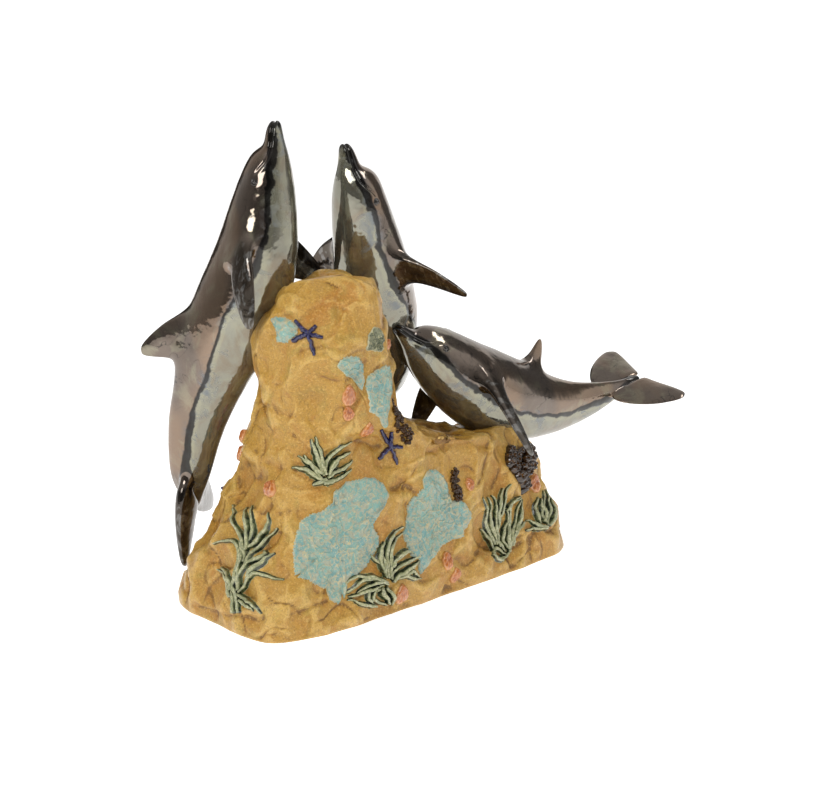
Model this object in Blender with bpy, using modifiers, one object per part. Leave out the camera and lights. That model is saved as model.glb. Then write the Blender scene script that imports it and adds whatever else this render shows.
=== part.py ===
"""Glazed ceramic group: three dolphins round a carved rock mound.

The mound rests on its flat underside at z = 0, its long side along X.  One big
dolphin stands nose up against the left end, a second rears behind the column
and a smaller one lies on the ledge at the right.  Starfish, weed, coral crusts,
shells and barnacle lumps are applied clay sprigs.  Lengths are in metres.
"""
from math import cos, pi, radians, sin

import bmesh
import bpy
import numpy as np
from mathutils import Vector
from mathutils.bvhtree import BVHTree

# Driving dimensions of the group.
GAP = 0.0003              # clearance left between touching pieces
MOUND_LENGTH = 0.315      # foot of the mound from end to end
MOUND_DEPTH = 0.144       # foot of the mound from front to back
MOUND_HEIGHT = 0.243      # floor to the top of the column
ROCK_AROUND = 36          # points round the mound
ROCK_LEVELS = 23          # rings up the mound
CARVE_DEPTH = 0.0042      # depth of the scooped facets
CARVE_CELL = 0.034        # usual width of one scooped facet
BIG_LENGTH = 0.322        # body length of the two large dolphins
CALF_LENGTH = 0.272       # body length of the dolphin on the ledge
CRUST_LIFT = 0.0026       # height of the coral crusts above the mound
WEED_LIFT = 0.0032        # height of the weed blades and starfish above the mound
SPRIG_SINK = 0.0030       # how far a sprig is pressed in before it is trimmed
BLADE_WIDTH = 0.0050      # width of the weed blades
ARM_WIDTH = 0.0046        # width of the starfish arms

# The picture plane of the group's show side, as plan directions.
SHOW_TURN = radians(-42.5)
ALONG = np.array([cos(SHOW_TURN), sin(SHOW_TURN), 0.0])
AWAY = np.array([-sin(SHOW_TURN), cos(SHOW_TURN), 0.0])
UP = np.array([0.0, 0.0, 1.0])


def clear_scene():
    """Remove what the file opens with."""
    for item in list(bpy.data.objects):
        bpy.data.objects.remove(item, do_unlink=True)
    for item in list(bpy.data.meshes):
        bpy.data.meshes.remove(item)
    for item in list(bpy.data.collections):
        bpy.data.collections.remove(item)


def glaze(name, colour, metallic, roughness):
    """Return one Principled material."""
    material = bpy.data.materials.new(name)
    material.use_nodes = True
    shader = material.node_tree.nodes["Principled BSDF"]
    shader.inputs["Base Color"].default_value = (*colour, 1.0)
    shader.inputs["Metallic"].default_value = metallic
    shader.inputs["Roughness"].default_value = roughness
    material.diffuse_color = (*colour, 1.0)
    return material


def smooth_keys(keys, t):
    """Cubic run through rows of (t, value, value, ...), flat past both ends."""
    table = np.array(keys, float)
    knots, values = table[:, 0], table[:, 1:]
    step = np.diff(knots)[:, None]
    rise = np.diff(values, axis=0) / step
    slope = np.zeros_like(values)
    same = rise[1:] * rise[:-1] > 0.0
    bottom = np.where(same, rise[1:] + rise[:-1], 1.0)
    slope[1:-1] = np.where(same, 2.0 * rise[1:] * rise[:-1] / bottom, 0.0)
    slope[0], slope[-1] = rise[0], rise[-1]
    t = np.clip(np.asarray(t, float), knots[0], knots[-1])
    cell = np.clip(np.searchsorted(knots, t, side="right") - 1, 0, len(knots) - 2)
    width = step[cell]
    x = ((t - knots[cell]) / width[..., 0])[..., None]
    a, b = values[cell], values[cell + 1]
    ma, mb = slope[cell] * width, slope[cell + 1] * width
    return (a * (1 + 2 * x) * (1 - x) ** 2 + ma * x * (1 - x) ** 2
            + b * x * x * (3 - 2 * x) + mb * x * x * (x - 1))


# Rings of the mound from the floor up: level, height at the left end and at the right
# end as shares of the mound's height, left and right end as shares of its length,
# front and back as shares of its depth, squareness.
ROCK_RINGS = (
    (0.00, 0.0000, 0.0000, -0.4921, 0.4984, -0.4583, 0.5069, 4.8),
    (0.03, 0.0247, 0.0247, -0.4984, 0.5016, -0.4722, 0.5278, 4.8),
    (0.13, 0.1399, 0.1235, -0.4698, 0.4794, -0.4583, 0.5139, 4.0),
    (0.24, 0.2716, 0.2222, -0.4222, 0.4476, -0.4444, 0.4861, 3.4),
    (0.33, 0.3951, 0.3210, -0.3746, 0.4127, -0.4306, 0.4236, 2.9),
    (0.40, 0.4815, 0.3868, -0.3492, 0.3714, -0.4167, 0.3681, 2.6),
    (0.46, 0.5391, 0.4156, -0.3397, 0.3270, -0.4097, 0.3264, 2.5),
    (0.50, 0.5844, 0.4280, -0.3365, 0.2667, -0.4097, 0.2917, 2.4),
    (0.54, 0.6296, 0.4362, -0.3365, 0.1810, -0.4097, 0.2639, 2.4),
    (0.58, 0.6749, 0.4527, -0.3397, 0.0921, -0.4097, 0.2500, 2.4),
    (0.63, 0.7202, 0.4897, -0.3397, 0.0286, -0.4097, 0.2431, 2.4),
    (0.69, 0.7737, 0.5638, -0.3397, -0.0159, -0.4028, 0.2431, 2.4),
    (0.77, 0.8519, 0.7284, -0.3333, -0.0413, -0.3889, 0.2431, 2.4),
    (0.85, 0.9136, 0.8354, -0.3143, -0.0540, -0.3611, 0.2153, 2.4),
    (0.91, 0.9630, 0.9259, -0.2889, -0.0730, -0.3194, 0.1736, 2.5),
    (0.96, 0.9918, 0.9794, -0.2508, -0.1048, -0.2500, 0.1042, 2.5),
    (1.00, 1.0000, 1.0000, -0.2032, -0.1524, -0.1528, 0.0000, 2.3),
)

# Scoops thumbed into the clay: middle as shares of the mound's length, depth and
# height, then reach and depth in metres; a depth below zero is a raised shoulder.
ROCK_SCOOPS = (
    (-0.317, -0.278, 0.658, 0.016, 0.006),
    (-0.143, -0.431, 0.486, 0.022, 0.004),
    (0.038, -0.431, 0.272, 0.020, 0.007),
    (-0.095, -0.444, 0.255, 0.013, 0.006),
    (0.197, -0.444, 0.123, 0.020, 0.006),
    (0.292, -0.403, 0.173, 0.017, 0.005),
    (0.238, -0.389, 0.346, 0.019, 0.005),
    (0.127, -0.278, 0.494, 0.020, 0.004),
    (-0.349, -0.431, 0.165, 0.024, 0.005),
    (-0.476, -0.208, 0.288, 0.026, 0.005),
    (-0.444, 0.208, 0.412, 0.024, 0.005),
    (-0.063, 0.472, 0.494, 0.030, 0.008),
    (0.254, 0.514, 0.206, 0.028, 0.006),
    (-0.238, 0.514, 0.185, 0.026, 0.006),
    (0.470, 0.069, 0.185, 0.024, 0.006),
    (-0.165, -0.382, 0.823, 0.018, 0.004),
    (-0.095, -0.347, 0.733, 0.014, 0.004),
    (-0.057, 0.111, 0.844, 0.030, -0.016),
    (0.216, 0.236, 0.444, 0.028, 0.011),
    (0.311, 0.097, 0.428, 0.024, 0.009),
    (0.324, -0.108, 0.408, 0.022, -0.002),
    (-0.185, 0.002, 1.012, 0.020, 0.008),
    (-0.310, 0.080, 0.665, 0.014, 0.006),
    (-0.325, 0.070, 0.585, 0.014, -0.006),
    (-0.333, 0.099, 0.500, 0.018, -0.005),
    (-0.102, -0.223, 0.930, 0.016, -0.003),
    (0.370, -0.300, 0.340, 0.020, -0.006),
    (0.430, -0.300, 0.170, 0.026, -0.005),
)


# Places left nearly plain, where crusts lie: middle in shares, reach in metres.
ROCK_CALM = (
    (-0.286, -0.403, 0.255, 0.036),
    (-0.222, -0.417, 0.379, 0.028),
    (0.013, -0.431, 0.247, 0.036),
    (-0.152, -0.389, 0.667, 0.018),
    (0.302, 0.382, 0.288, 0.030),
)


def on_mound(x, y, z):
    """Row-frame point from shares of the mound's length, depth and height."""
    return np.array([x * MOUND_LENGTH, y * MOUND_DEPTH, z * MOUND_HEIGHT])


def rock_base(turn, level):
    """Plain mound surface; turn and level are arrays of the same shape, 0 to 1."""
    ring = smooth_keys(ROCK_RINGS, level)
    low, high, left, right, front, back, square = (ring[..., k] for k in range(7))
    low, high = low * MOUND_HEIGHT, high * MOUND_HEIGHT
    left, right = left * MOUND_LENGTH, right * MOUND_LENGTH
    front, back = front * MOUND_DEPTH, back * MOUND_DEPTH
    height, tilt = (low + high) / 2.0, (high - low) / (right - left)
    cx, cy, a = (left + right) / 2.0, 0.4 * front + 0.4 * back, (right - left) / 2.0
    front, back = cy - front, back - cy
    angle = np.linspace(0.0, 2.0 * pi, 361)
    flat = [v.reshape(-1) for v in (turn, height, tilt, cx, cy, a, front, back, square)]
    turn, height, tilt, cx, cy, a, front, back, square = flat
    points = np.empty((turn.size, 3))
    _, group = np.unique(np.round(level.reshape(-1), 9), return_inverse=True)
    for key in range(group.max() + 1):
        pick = np.nonzero(group == key)[0]
        k = pick[0]
        power = 2.0 / square[k]
        c, s = np.cos(angle), np.sin(angle)
        x = cx[k] + a[k] * np.sign(c) * np.abs(c) ** power
        half = np.where(s < 0.0, front[k], back[k])
        bulge = 0.083 * MOUND_DEPTH * np.exp(-((x / MOUND_LENGTH - 0.095) / 0.175) ** 2)
        bulge = bulge * (s > 0.0) * np.clip(1.6 - 2.67 * height[k] / MOUND_HEIGHT, 0.0, 1.0)
        y = cy[k] + (half + bulge) * np.sign(s) * np.abs(s) ** power
        run = np.concatenate(([0.0], np.cumsum(np.hypot(np.diff(x), np.diff(y)))))
        at = turn[pick] * run[-1]
        px, py = np.interp(at, run, x), np.interp(at, run, y)
        points[pick] = np.stack((px, py, height[k] + tilt[k] * (px - cx[k])), axis=-1)
    return points


def carve_seeds():
    """Middles of the scooped facets, spread with a fixed seed."""
    chance = np.random.default_rng(41)
    low, high = np.array([-0.17, -0.10, -0.02]), np.array([0.17, 0.11, 0.27])
    steps = [np.arange(a, b, CARVE_CELL) for a, b in zip(low, high)]
    grid = np.stack(np.meshgrid(*steps, indexing="ij"), axis=-1).reshape(-1, 3)
    return grid + chance.uniform(-0.5, 0.5, grid.shape) * CARVE_CELL


def rock_points(turn, level):
    """Carved mound surface for arrays of turn and level between 0 and 1."""
    step = 0.004
    here = rock_base(turn, level)
    side = rock_base((turn + step) % 1.0, level) - rock_base((turn - step) % 1.0, level)
    rise = rock_base(turn, np.minimum(level + step, 1.0)) \
        - rock_base(turn, np.maximum(level - step, 0.0))
    normal = np.cross(side, rise)
    normal /= np.maximum(np.linalg.norm(normal, axis=1, keepdims=True), 1e-12)
    seeds = carve_seeds()
    near = np.full(len(here), 9.0)
    for seed in seeds:
        gap = here - seed
        near = np.minimum(near, gap[:, 0] ** 2 + gap[:, 1] ** 2 + 0.7 * gap[:, 2] ** 2)
    push = CARVE_DEPTH * (np.clip(near / (0.5 * CARVE_CELL) ** 2, 0.0, 1.6) - 0.9)
    for x, y, z, reach, depth in ROCK_SCOOPS:
        away = np.linalg.norm(here - on_mound(x, y, z), axis=1) / reach
        push -= depth * np.exp(-away ** 2)
    for x, y, z, reach in ROCK_CALM:
        away = np.linalg.norm(here - on_mound(x, y, z), axis=1) / reach
        push *= 1.0 - 0.75 * np.exp(-away ** 2)
    calm = np.clip(here[:, 2] / 0.012, 0.0, 1.0) * 0.75 + 0.25
    out = here + normal * (push * calm)[:, None]
    floor = level.reshape(-1) < 1e-6
    out[floor, 2] = 0.0
    out[:, 2] = np.maximum(out[:, 2], 0.0)
    return out


def rock_mesh(around, levels):
    """Closed mound as a bmesh, flat underneath."""
    level = np.linspace(0.0, 1.0, levels)
    level = np.sort(np.concatenate((level[level > 0.031], [0.0, 0.03])))
    turn = np.arange(around) / around
    t, l = np.meshgrid(turn, level)
    points = rock_points(t, l)
    mesh = bmesh.new()
    rows = [[mesh.verts.new(points[r * around + c]) for c in range(around)]
            for r in range(len(level))]
    for low, high in zip(rows, rows[1:]):
        for c in range(around):
            n = (c + 1) % around
            mesh.faces.new((low[c], low[n], high[n], high[c]))
    mesh.faces.new(list(reversed(rows[0])))
    peak = sum((v.co for v in rows[-1]), Vector()) / around
    tip = mesh.verts.new(peak + Vector((0.0, 0.0, 0.0006)))
    for c in range(around):
        mesh.faces.new((rows[-1][c], rows[-1][(c + 1) % around], tip))
    return mesh


# Dolphin body: share of length from the beak tip, share above the spine,
# share below it, half width.
BODY_PROFILE = (
    (0.000, 0.0080, 0.0080, 0.0095),
    (0.014, 0.0175, 0.0155, 0.0180),
    (0.043, 0.0220, 0.0240, 0.0220),
    (0.060, 0.0250, 0.0320, 0.0265),
    (0.074, 0.0450, 0.0370, 0.0365),
    (0.105, 0.0600, 0.0480, 0.0510),
    (0.170, 0.0730, 0.0680, 0.0660),
    (0.245, 0.0840, 0.0830, 0.0780),
    (0.295, 0.0900, 0.0920, 0.0830),
    (0.345, 0.0960, 0.0990, 0.0875),
    (0.400, 0.0980, 0.1010, 0.0880),
    (0.450, 0.0980, 0.1000, 0.0860),
    (0.495, 0.0960, 0.0970, 0.0820),
    (0.565, 0.0865, 0.0855, 0.0700),
    (0.620, 0.0745, 0.0735, 0.0585),
    (0.735, 0.0530, 0.0520, 0.0370),
    (0.865, 0.0300, 0.0290, 0.0180),
    (0.920, 0.0160, 0.0160, 0.0160),
    (0.965, 0.0100, 0.0100, 0.0160),
    (0.982, 0.0050, 0.0050, 0.0100),
)
RING_ANGLES = (17.0, 70.0, 104.0, 150.0)
CAGE_SWELL = 1.075        # makes up for the smoothing of an eight-sided cage


def unit(vector):
    """Vector of length one."""
    return vector / max(np.linalg.norm(vector), 1e-12)


def shown(along, away, up):
    """Row-frame vector from distances along the picture, away from it and up."""
    return (ALONG * along + AWAY * away + UP * up) / 1000.0


class Spine:
    """Smooth line through the body with a back direction at every share."""

    def __init__(self, rest, knots, backs, size):
        points = np.array([on_mound(*rest) + shown(*k) * size for k in knots])
        chords = np.linalg.norm(np.diff(points, axis=0), axis=1)
        at = np.concatenate(([0.0], np.cumsum(chords)))
        rows = np.column_stack((at, points))
        fine = np.linspace(0.0, at[-1], 400)
        self.points = self.relax(smooth_keys(rows, fine))
        run = np.linalg.norm(np.diff(self.points, axis=0), axis=1)
        self.run = np.concatenate(([0.0], np.cumsum(run)))
        self.length = self.run[-1]
        self.backs = [(share, *unit(shown(*back))) for share, back in backs]

    @staticmethod
    def relax(points):
        """Take the small corners out of the line."""
        for _ in range(500):
            points[1:-1] += 0.5 * (0.5 * (points[:-2] + points[2:]) - points[1:-1])
        return points

    def at(self, share):
        """Return middle, tail direction, back direction and left direction."""
        along = share * self.length
        place = np.array([np.interp(along, self.run, self.points[:, k]) for k in range(3)])
        ahead = np.array([np.interp(along + 0.006, self.run, self.points[:, k])
                          for k in range(3)])
        behind = np.array([np.interp(along - 0.006, self.run, self.points[:, k])
                           for k in range(3)])
        tail = unit(ahead - behind)
        back = smooth_keys(self.backs, share)
        back = unit(back - tail * np.dot(back, tail))
        return place, tail, back, np.cross(tail, back)


def add_fin(mesh, upper, lower, sections):
    """Grow a blade out of the strip of faces between two rows of cage points.

    Each section gives middle, chord direction, flat direction, chord, thickness.
    """
    count = len(upper)
    strip = [f for f in mesh.faces
             if all(v in upper or v in lower for v in f.verts)]
    bmesh.ops.delete(mesh, geom=strip, context="FACES_ONLY")
    ring = list(upper) + list(reversed(lower))
    for middle, chord_dir, flat_dir, chord, thick in sections:
        fresh = []
        for side, row in ((1.0, range(count)), (-1.0, reversed(range(count)))):
            for k in row:
                u = k / (count - 1)
                edge = 0.30 + 0.70 * sin(pi * min(0.86, 0.16 + 0.72 * u))
                fresh.append(mesh.verts.new(
                    middle + chord_dir * chord * (u - 0.5)
                    + flat_dir * side * 0.5 * thick * edge))
        total = len(ring)
        for k in range(total):
            n = (k + 1) % total
            mesh.faces.new((ring[k], ring[n], fresh[n], fresh[k]))
        ring = fresh
    for k in range(count - 1):
        mesh.faces.new((ring[k], ring[k + 1], ring[-2 - k], ring[-1 - k]))


def blade(root, path, chords, turns, flat_hint):
    """Sections of a fin along a curved path.

    path holds two offsets from the root, the bend and the tip; turns gives the
    chord direction at the root and at the tip; chords gives share of the way,
    chord and thickness.
    """
    bend, tip = root + path[0], root + path[1]
    sections = []
    for share, chord, thick in chords:
        a, b = (1 - share) ** 2, 2 * share * (1 - share)
        middle = root * a + bend * b + tip * share ** 2
        heading = unit((bend - root) * (1 - share) + (tip - bend) * share)
        chord_dir = unit(turns[0] * (1 - share) + turns[1] * share)
        chord_dir = unit(chord_dir - heading * np.dot(chord_dir, heading) * 0.85)
        flat = unit(np.cross(heading, chord_dir))
        if np.dot(flat, flat_hint) < 0.0:
            flat = -flat
        flat_hint = flat
        sections.append((middle, chord_dir, flat, chord, thick))
    return sections


FLIPPER_CHORDS = ((0.20, 0.074, 0.026), (0.58, 0.060, 0.016), (0.93, 0.024, 0.009))
DORSAL_CHORDS = ((0.40, 0.100, 0.020), (0.92, 0.032, 0.009))
FLUKE_CHORDS = ((0.26, 0.100, 0.019), (0.66, 0.074, 0.012), (0.96, 0.024, 0.007))


def dolphin_cage(pose):
    """Coarse closed cage of one dolphin as a bmesh."""
    size = pose["length"]
    spine = Spine(pose["rest"], pose["spine"], pose["backs"], size)
    mesh = bmesh.new()
    rows = []
    for share, top, bottom, wide in BODY_PROFILE:
        place, tail, back, left = spine.at(share)
        girth = smooth_keys(pose["girth"], share)
        top, bottom, wide = top * girth[0], bottom * girth[1], wide * girth[2]
        ring = []
        for side, order in ((1.0, RING_ANGLES), (-1.0, reversed(RING_ANGLES))):
            for angle in order:
                c, s = cos(radians(angle)), sin(radians(angle))
                lift = top if c > 0.0 else bottom
                ring.append(mesh.verts.new(
                    place + back * c * lift * size * CAGE_SWELL
                    + left * s * side * wide * size * CAGE_SWELL))
        rows.append(ring)
    for ahead, behind in zip(rows, rows[1:]):
        for k in range(8):
            n = (k + 1) % 8
            mesh.faces.new((ahead[k], behind[k], behind[n], ahead[n]))
    for ring, flip in ((rows[0], False), (rows[-1], True)):
        for k in range(3):
            face = (ring[k], ring[k + 1], ring[6 - k], ring[7 - k])
            mesh.faces.new(tuple(reversed(face)) if flip else face)
    shares = [row[0] for row in BODY_PROFILE]

    def strip(first, last, a, b):
        span = range(shares.index(first), shares.index(last) + 1)
        return [rows[r][a] for r in span], [rows[r][b] for r in span]

    def middle_of(rows_pair):
        both = rows_pair[0] + rows_pair[1]
        return np.array(sum((v.co for v in both), Vector()) / len(both))

    def scaled(table, broad=1.0, thick=1.0):
        return [(row[0], row[1] * broad * size, row[2] * thick * size) for row in table]

    first, last = pose["fin_root"]
    place, tail, back, left = spine.at((first + last) / 2.0)
    pair = strip(first, last, 0, 7)
    root = middle_of(pair)
    fin = pose["fin"] * size
    path = (back * 0.46 * fin + tail * 0.26 * fin, back * fin + tail * pose["sweep"] * fin)
    add_fin(mesh, *pair, blade(root, path, scaled(DORSAL_CHORDS, pose["fin_broad"]),
                               (tail, unit(tail * 0.9 + back * 0.35)), left))
    for side, key, a, b in ((1.0, "left", 1, 2), (-1.0, "right", 6, 5)):
        place, tail, back, left = spine.at(0.295)
        pair = strip(0.245, 0.345, a, b)
        bend, tip, edge, broad = pose[key]
        local = np.column_stack((left * side, back, tail))
        path = (local @ np.array(bend) * size, local @ np.array(tip) * size)
        turns = (tail, unit(local @ np.array(edge)))
        add_fin(mesh, *pair, blade(middle_of(pair), path, scaled(FLIPPER_CHORDS, broad),
                                   turns, back))
        place, tail, back, left = spine.at(0.94)
        pair = strip(0.865, 0.965, a, b)
        bend, tip, broad, thick = pose["lobe_" + key]
        local = np.column_stack((left * side, back, tail))
        path = (local @ np.array(bend) * size, local @ np.array(tip) * size)
        turns = (tail, unit(tail + left * side * 0.1))
        add_fin(mesh, *pair, blade(middle_of(pair), path,
                                   scaled(FLUKE_CHORDS, broad, thick), turns, back))
    bmesh.ops.recalc_face_normals(mesh, faces=mesh.faces)
    return mesh


# Poses: the place on the mound that the body rests on, in shares of the mound; spine
# knots from there in thousandths of the body's length along the picture, away and up;
# back directions by share; girth factors of back, belly and side by share; flippers
# as bend, tip and trailing direction in outward, back, tailward shares of the length
# and breadth; lobes of the fluke as bend, tip, breadth and thickness.
POSES = {
    "dolphin_left": {
        "length": BIG_LENGTH,
        "fin": 0.089,
        "fin_broad": 0.82,
        "fin_root": (0.495, 0.620),
        "sweep": 0.90,
        "rest": (-0.273, 0.190, 0.844),
        "spine": ((34, 16, 447), (34, 16, 407), (28, 16, 360), (19, 16, 311),
                  (9, 16, 264), (-6, 16, 168), (-22, 16, 112), (-47, 16, 50),
                  (-75, 16, -16), (-113, 16, -121), (-142, 16, -183), (-166, 22, -276),
                  (-177, 34, -357), (-178, 59, -419), (-171, 87, -475)),
        "backs": ((0.0, (-0.93, 0.36, 0.0)), (0.45, (-0.96, 0.28, 0.0)),
                  (0.75, (-1.0, 0.05, 0.0)), (1.0, (-0.96, 0.28, 0.0))),
        "girth": ((0.0, 1.0, 1.0, 1.0), (0.3, 1.04, 1.08, 1.0), (0.6, 1.12, 1.14, 1.05),
                  (0.74, 1.30, 1.34, 1.15), (0.87, 1.8, 1.85, 1.3), (0.93, 2.5, 2.2, 1.3),
                  (1.0, 1.5, 1.5, 1.2)),
        "left": ((0.07, -0.03, 0.038), (0.17, -0.09, 0.080), (0.0, -0.2, 1.0), 1.35),
        "right": ((0.050, -0.030, 0.045), (0.050, -0.085, 0.165), (0.0, 1.0, 0.35), 1.0),
        "lobe_left": ((0.055, 0.004, 0.080), (0.108, 0.004, 0.178), 1.15, 1.3),
        "lobe_right": ((0.045, 0.004, 0.03), (0.085, 0.010, 0.174), 1.0, 2.6),
    },
    "dolphin_behind": {
        "length": BIG_LENGTH,
        "fin": 0.080,
        "fin_broad": 0.9,
        "fin_root": (0.495, 0.620),
        "sweep": 1.05,
        "rest": (-0.033, 0.095, 0.877),
        "spine": ((-20, -31, 360), (-12, -28, 301), (1, -19, 245), (22, 6, 152),
                  (40, 50, 53), (55, 106, -56), (66, 156, -158), (80, 202, -240),
                  (70, 258, -298), (-12, 302, -300), (-88, 318, -280),
                  (-158, 324, -265)),
        "backs": ((0.0, (0.85, 0.52, 0.0)), (0.30, (0.62, 0.78, 0.0)),
                  (0.52, (0.10, 0.98, 0.1)), (0.85, (0.2, 0.35, 0.9)),
                  (1.0, (0.1, 0.2, 1.0))),
        "girth": ((0.0, 1.0, 1.0, 1.0), (0.085, 1.20, 1.0, 1.10), (0.16, 1.04, 1.0, 1.08),
                  (0.3, 0.98, 1.03, 1.03),
                  (0.6, 1.05, 1.05, 1.05), (1.0, 1.0, 1.0, 1.0)),
        "left": ((0.07, 0.00, -0.02), (0.194, 0.018, 0.036), (0.15, 0.1, 1.0), 0.92),
        "right": ((0.05, -0.02, 0.05), (0.11, -0.06, 0.15), (0.0, 0.0, 1.0), 1.25),
        "lobe_left": ((0.068, 0.0, 0.010), (0.146, 0.0, 0.118), 1.25, 1.2),
        "lobe_right": ((0.068, 0.0, 0.010), (0.146, 0.0, 0.118), 1.25, 1.2),
    },
    "dolphin_calf": {
        "length": CALF_LENGTH,
        "fin": 0.088,
        "fin_broad": 0.50,
        "fin_root": (0.495, 0.565),
        "sweep": 0.16,
        "rest": (0.324, -0.112, 0.420),
        "spine": ((-272, -180, 327), (-235, -158, 290), (-191, -129, 246),
                  (-121, -81, 180), (-29, -18, 114), (70, 51, 62), (176, 129, 26),
                  (257, 188, 11), (349, 254, 18), (430, 312, 37), (471, 342, 48)),
        "backs": ((0.0, (0.25, 0.55, 0.8)), (0.3, (0.35, 0.45, 0.85)),
                  (0.55, (0.10, 0.15, 1.0)), (1.0, (0.0, -0.38, 1.0))),
        "girth": ((0.0, 1.1, 1.1, 1.1), (0.07, 1.15, 1.2, 1.15), (0.15, 1.32, 1.37, 1.25),
                  (0.30, 1.20, 1.42, 1.2), (0.55, 1.06, 1.48, 1.12), (0.72, 0.95, 1.62, 1.08),
                  (0.87, 0.95, 1.75, 1.05), (1.0, 1.0, 1.1, 1.0)),
        "left": ((0.07, -0.06, 0.04), (0.10, -0.180, 0.180), (0.0, 0.0, 1.0), 0.9),
        "right": ((0.052, -0.068, 0.01), (0.084, -0.188, 0.04), (0.0, 0.0, 1.0), 1.3),
        "lobe_left": ((0.068, 0.0, 0.010), (0.146, 0.0, 0.118), 1.5, 1.1),
        "lobe_right": ((0.068, 0.0, 0.010), (0.150, 0.0, 0.110), 1.5, 1.1),
    },
}


def build_object(name, mesh, material, home):
    """Wrap a bmesh as a named object with its material."""
    data = bpy.data.meshes.new(name)
    mesh.to_mesh(data)
    mesh.free()
    if material is not None:
        data.materials.append(material)
    item = bpy.data.objects.new(name, data)
    home.objects.link(item)
    return item


def apply_all(item):
    """Turn the modifiers of an object into plain mesh."""
    bpy.context.view_layer.update()
    graph = bpy.context.evaluated_depsgraph_get()
    data = bpy.data.meshes.new_from_object(item.evaluated_get(graph))
    item.modifiers.clear()
    item.data = data


def grown_copy(item, home, gap):
    """Cutter that is a node grown by the gap all round."""
    mesh = bmesh.new()
    mesh.from_mesh(item.data)
    mesh.normal_update()
    moves = [v.normal * gap * min(v.calc_shell_factor(), 2.0) for v in mesh.verts]
    for vert, move in zip(mesh.verts, moves):
        vert.co += move
    cutter = build_object("room_" + item.name, mesh, None, home)
    cutter.hide_render = True
    cutter.display_type = "WIRE"
    return cutter


def cut(item, cutter, operation="DIFFERENCE"):
    """Trim an object with a cutter and join the flat faces that are left."""
    step = item.modifiers.new("cut", "BOOLEAN")
    step.operation = operation
    step.solver = "EXACT"
    step.object = cutter
    apply_all(item)
    mesh = bmesh.new()
    mesh.from_mesh(item.data)
    bmesh.ops.remove_doubles(mesh, verts=mesh.verts, dist=0.00002)
    bmesh.ops.dissolve_degenerate(mesh, edges=mesh.edges, dist=0.00001)
    bmesh.ops.dissolve_limit(mesh, angle_limit=radians(0.8), verts=mesh.verts,
                             edges=mesh.edges)
    bmesh.ops.triangulate(mesh, faces=mesh.faces)
    mesh.to_mesh(item.data)
    mesh.free()


class Ground:
    """Surface that sprigs are pressed onto, seen from one side of the group."""

    def __init__(self, items):
        points, faces = [], []
        for item in items:
            shift = len(points)
            points += [v.co.copy() for v in item.data.vertices]
            faces += [[i + shift for i in f.vertices] for f in item.data.polygons]
        self.tree = BVHTree.FromPolygons(points, faces)

    def settle(self, along, up, turn=0.0, spread=0.008):
        """Return the frame at a place seen from one side: point, right, up, out.

        along and up are shares of the mound's length and height; turn is the plan
        angle from the show view to the view used, in degrees.
        """
        c, s = cos(radians(turn)), sin(radians(turn))
        toward = Vector(AWAY * c - ALONG * s)
        across = ALONG * c + AWAY * s
        hits, outs = [], []
        for a, b in ((0, 0), (1, 0), (-1, 0), (0, 1), (0, -1)):
            start = Vector(across * (along * MOUND_LENGTH + a * spread)
                           + UP * (up * MOUND_HEIGHT + b * spread)) - toward
            hit = self.tree.ray_cast(start, toward)
            if hit[0] is not None:
                hits.append(hit[0])
                outs.append(hit[1])
        out = sum(outs, Vector()).normalized()
        if out.dot(toward) > 0.0:
            out = -out
        rise = (Vector(UP) - out * out.z).normalized()
        return hits[0], rise.cross(out), rise, out

    def press(self, frame, across, rise, lift):
        """Point over the surface at local millimetres, lifted off it."""
        origin, right, up, out = frame
        place = origin + right * (across / 1000.0) + up * (rise / 1000.0)
        hit = self.tree.ray_cast(place + out * 0.022, -out, 0.050)
        base = hit[0] if hit[0] is not None else place
        return base + out * lift


def outline_reach(discs, centre, angle):
    """Distance from the centre to the edge of a run of overlapping ellipses."""
    c, s = cos(angle), sin(angle)
    best = 0.0
    for x, y, a, b in discs:
        dx, dy = (centre[0] - x) / a, (centre[1] - y) / b
        ex, ey = c / a, s / b
        p, q = ex * ex + ey * ey, dx * ex + dy * ey
        inside = q * q - p * (dx * dx + dy * dy - 1.0)
        if inside > 0.0:
            best = max(best, (-q + inside ** 0.5) / p)
    return best


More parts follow.
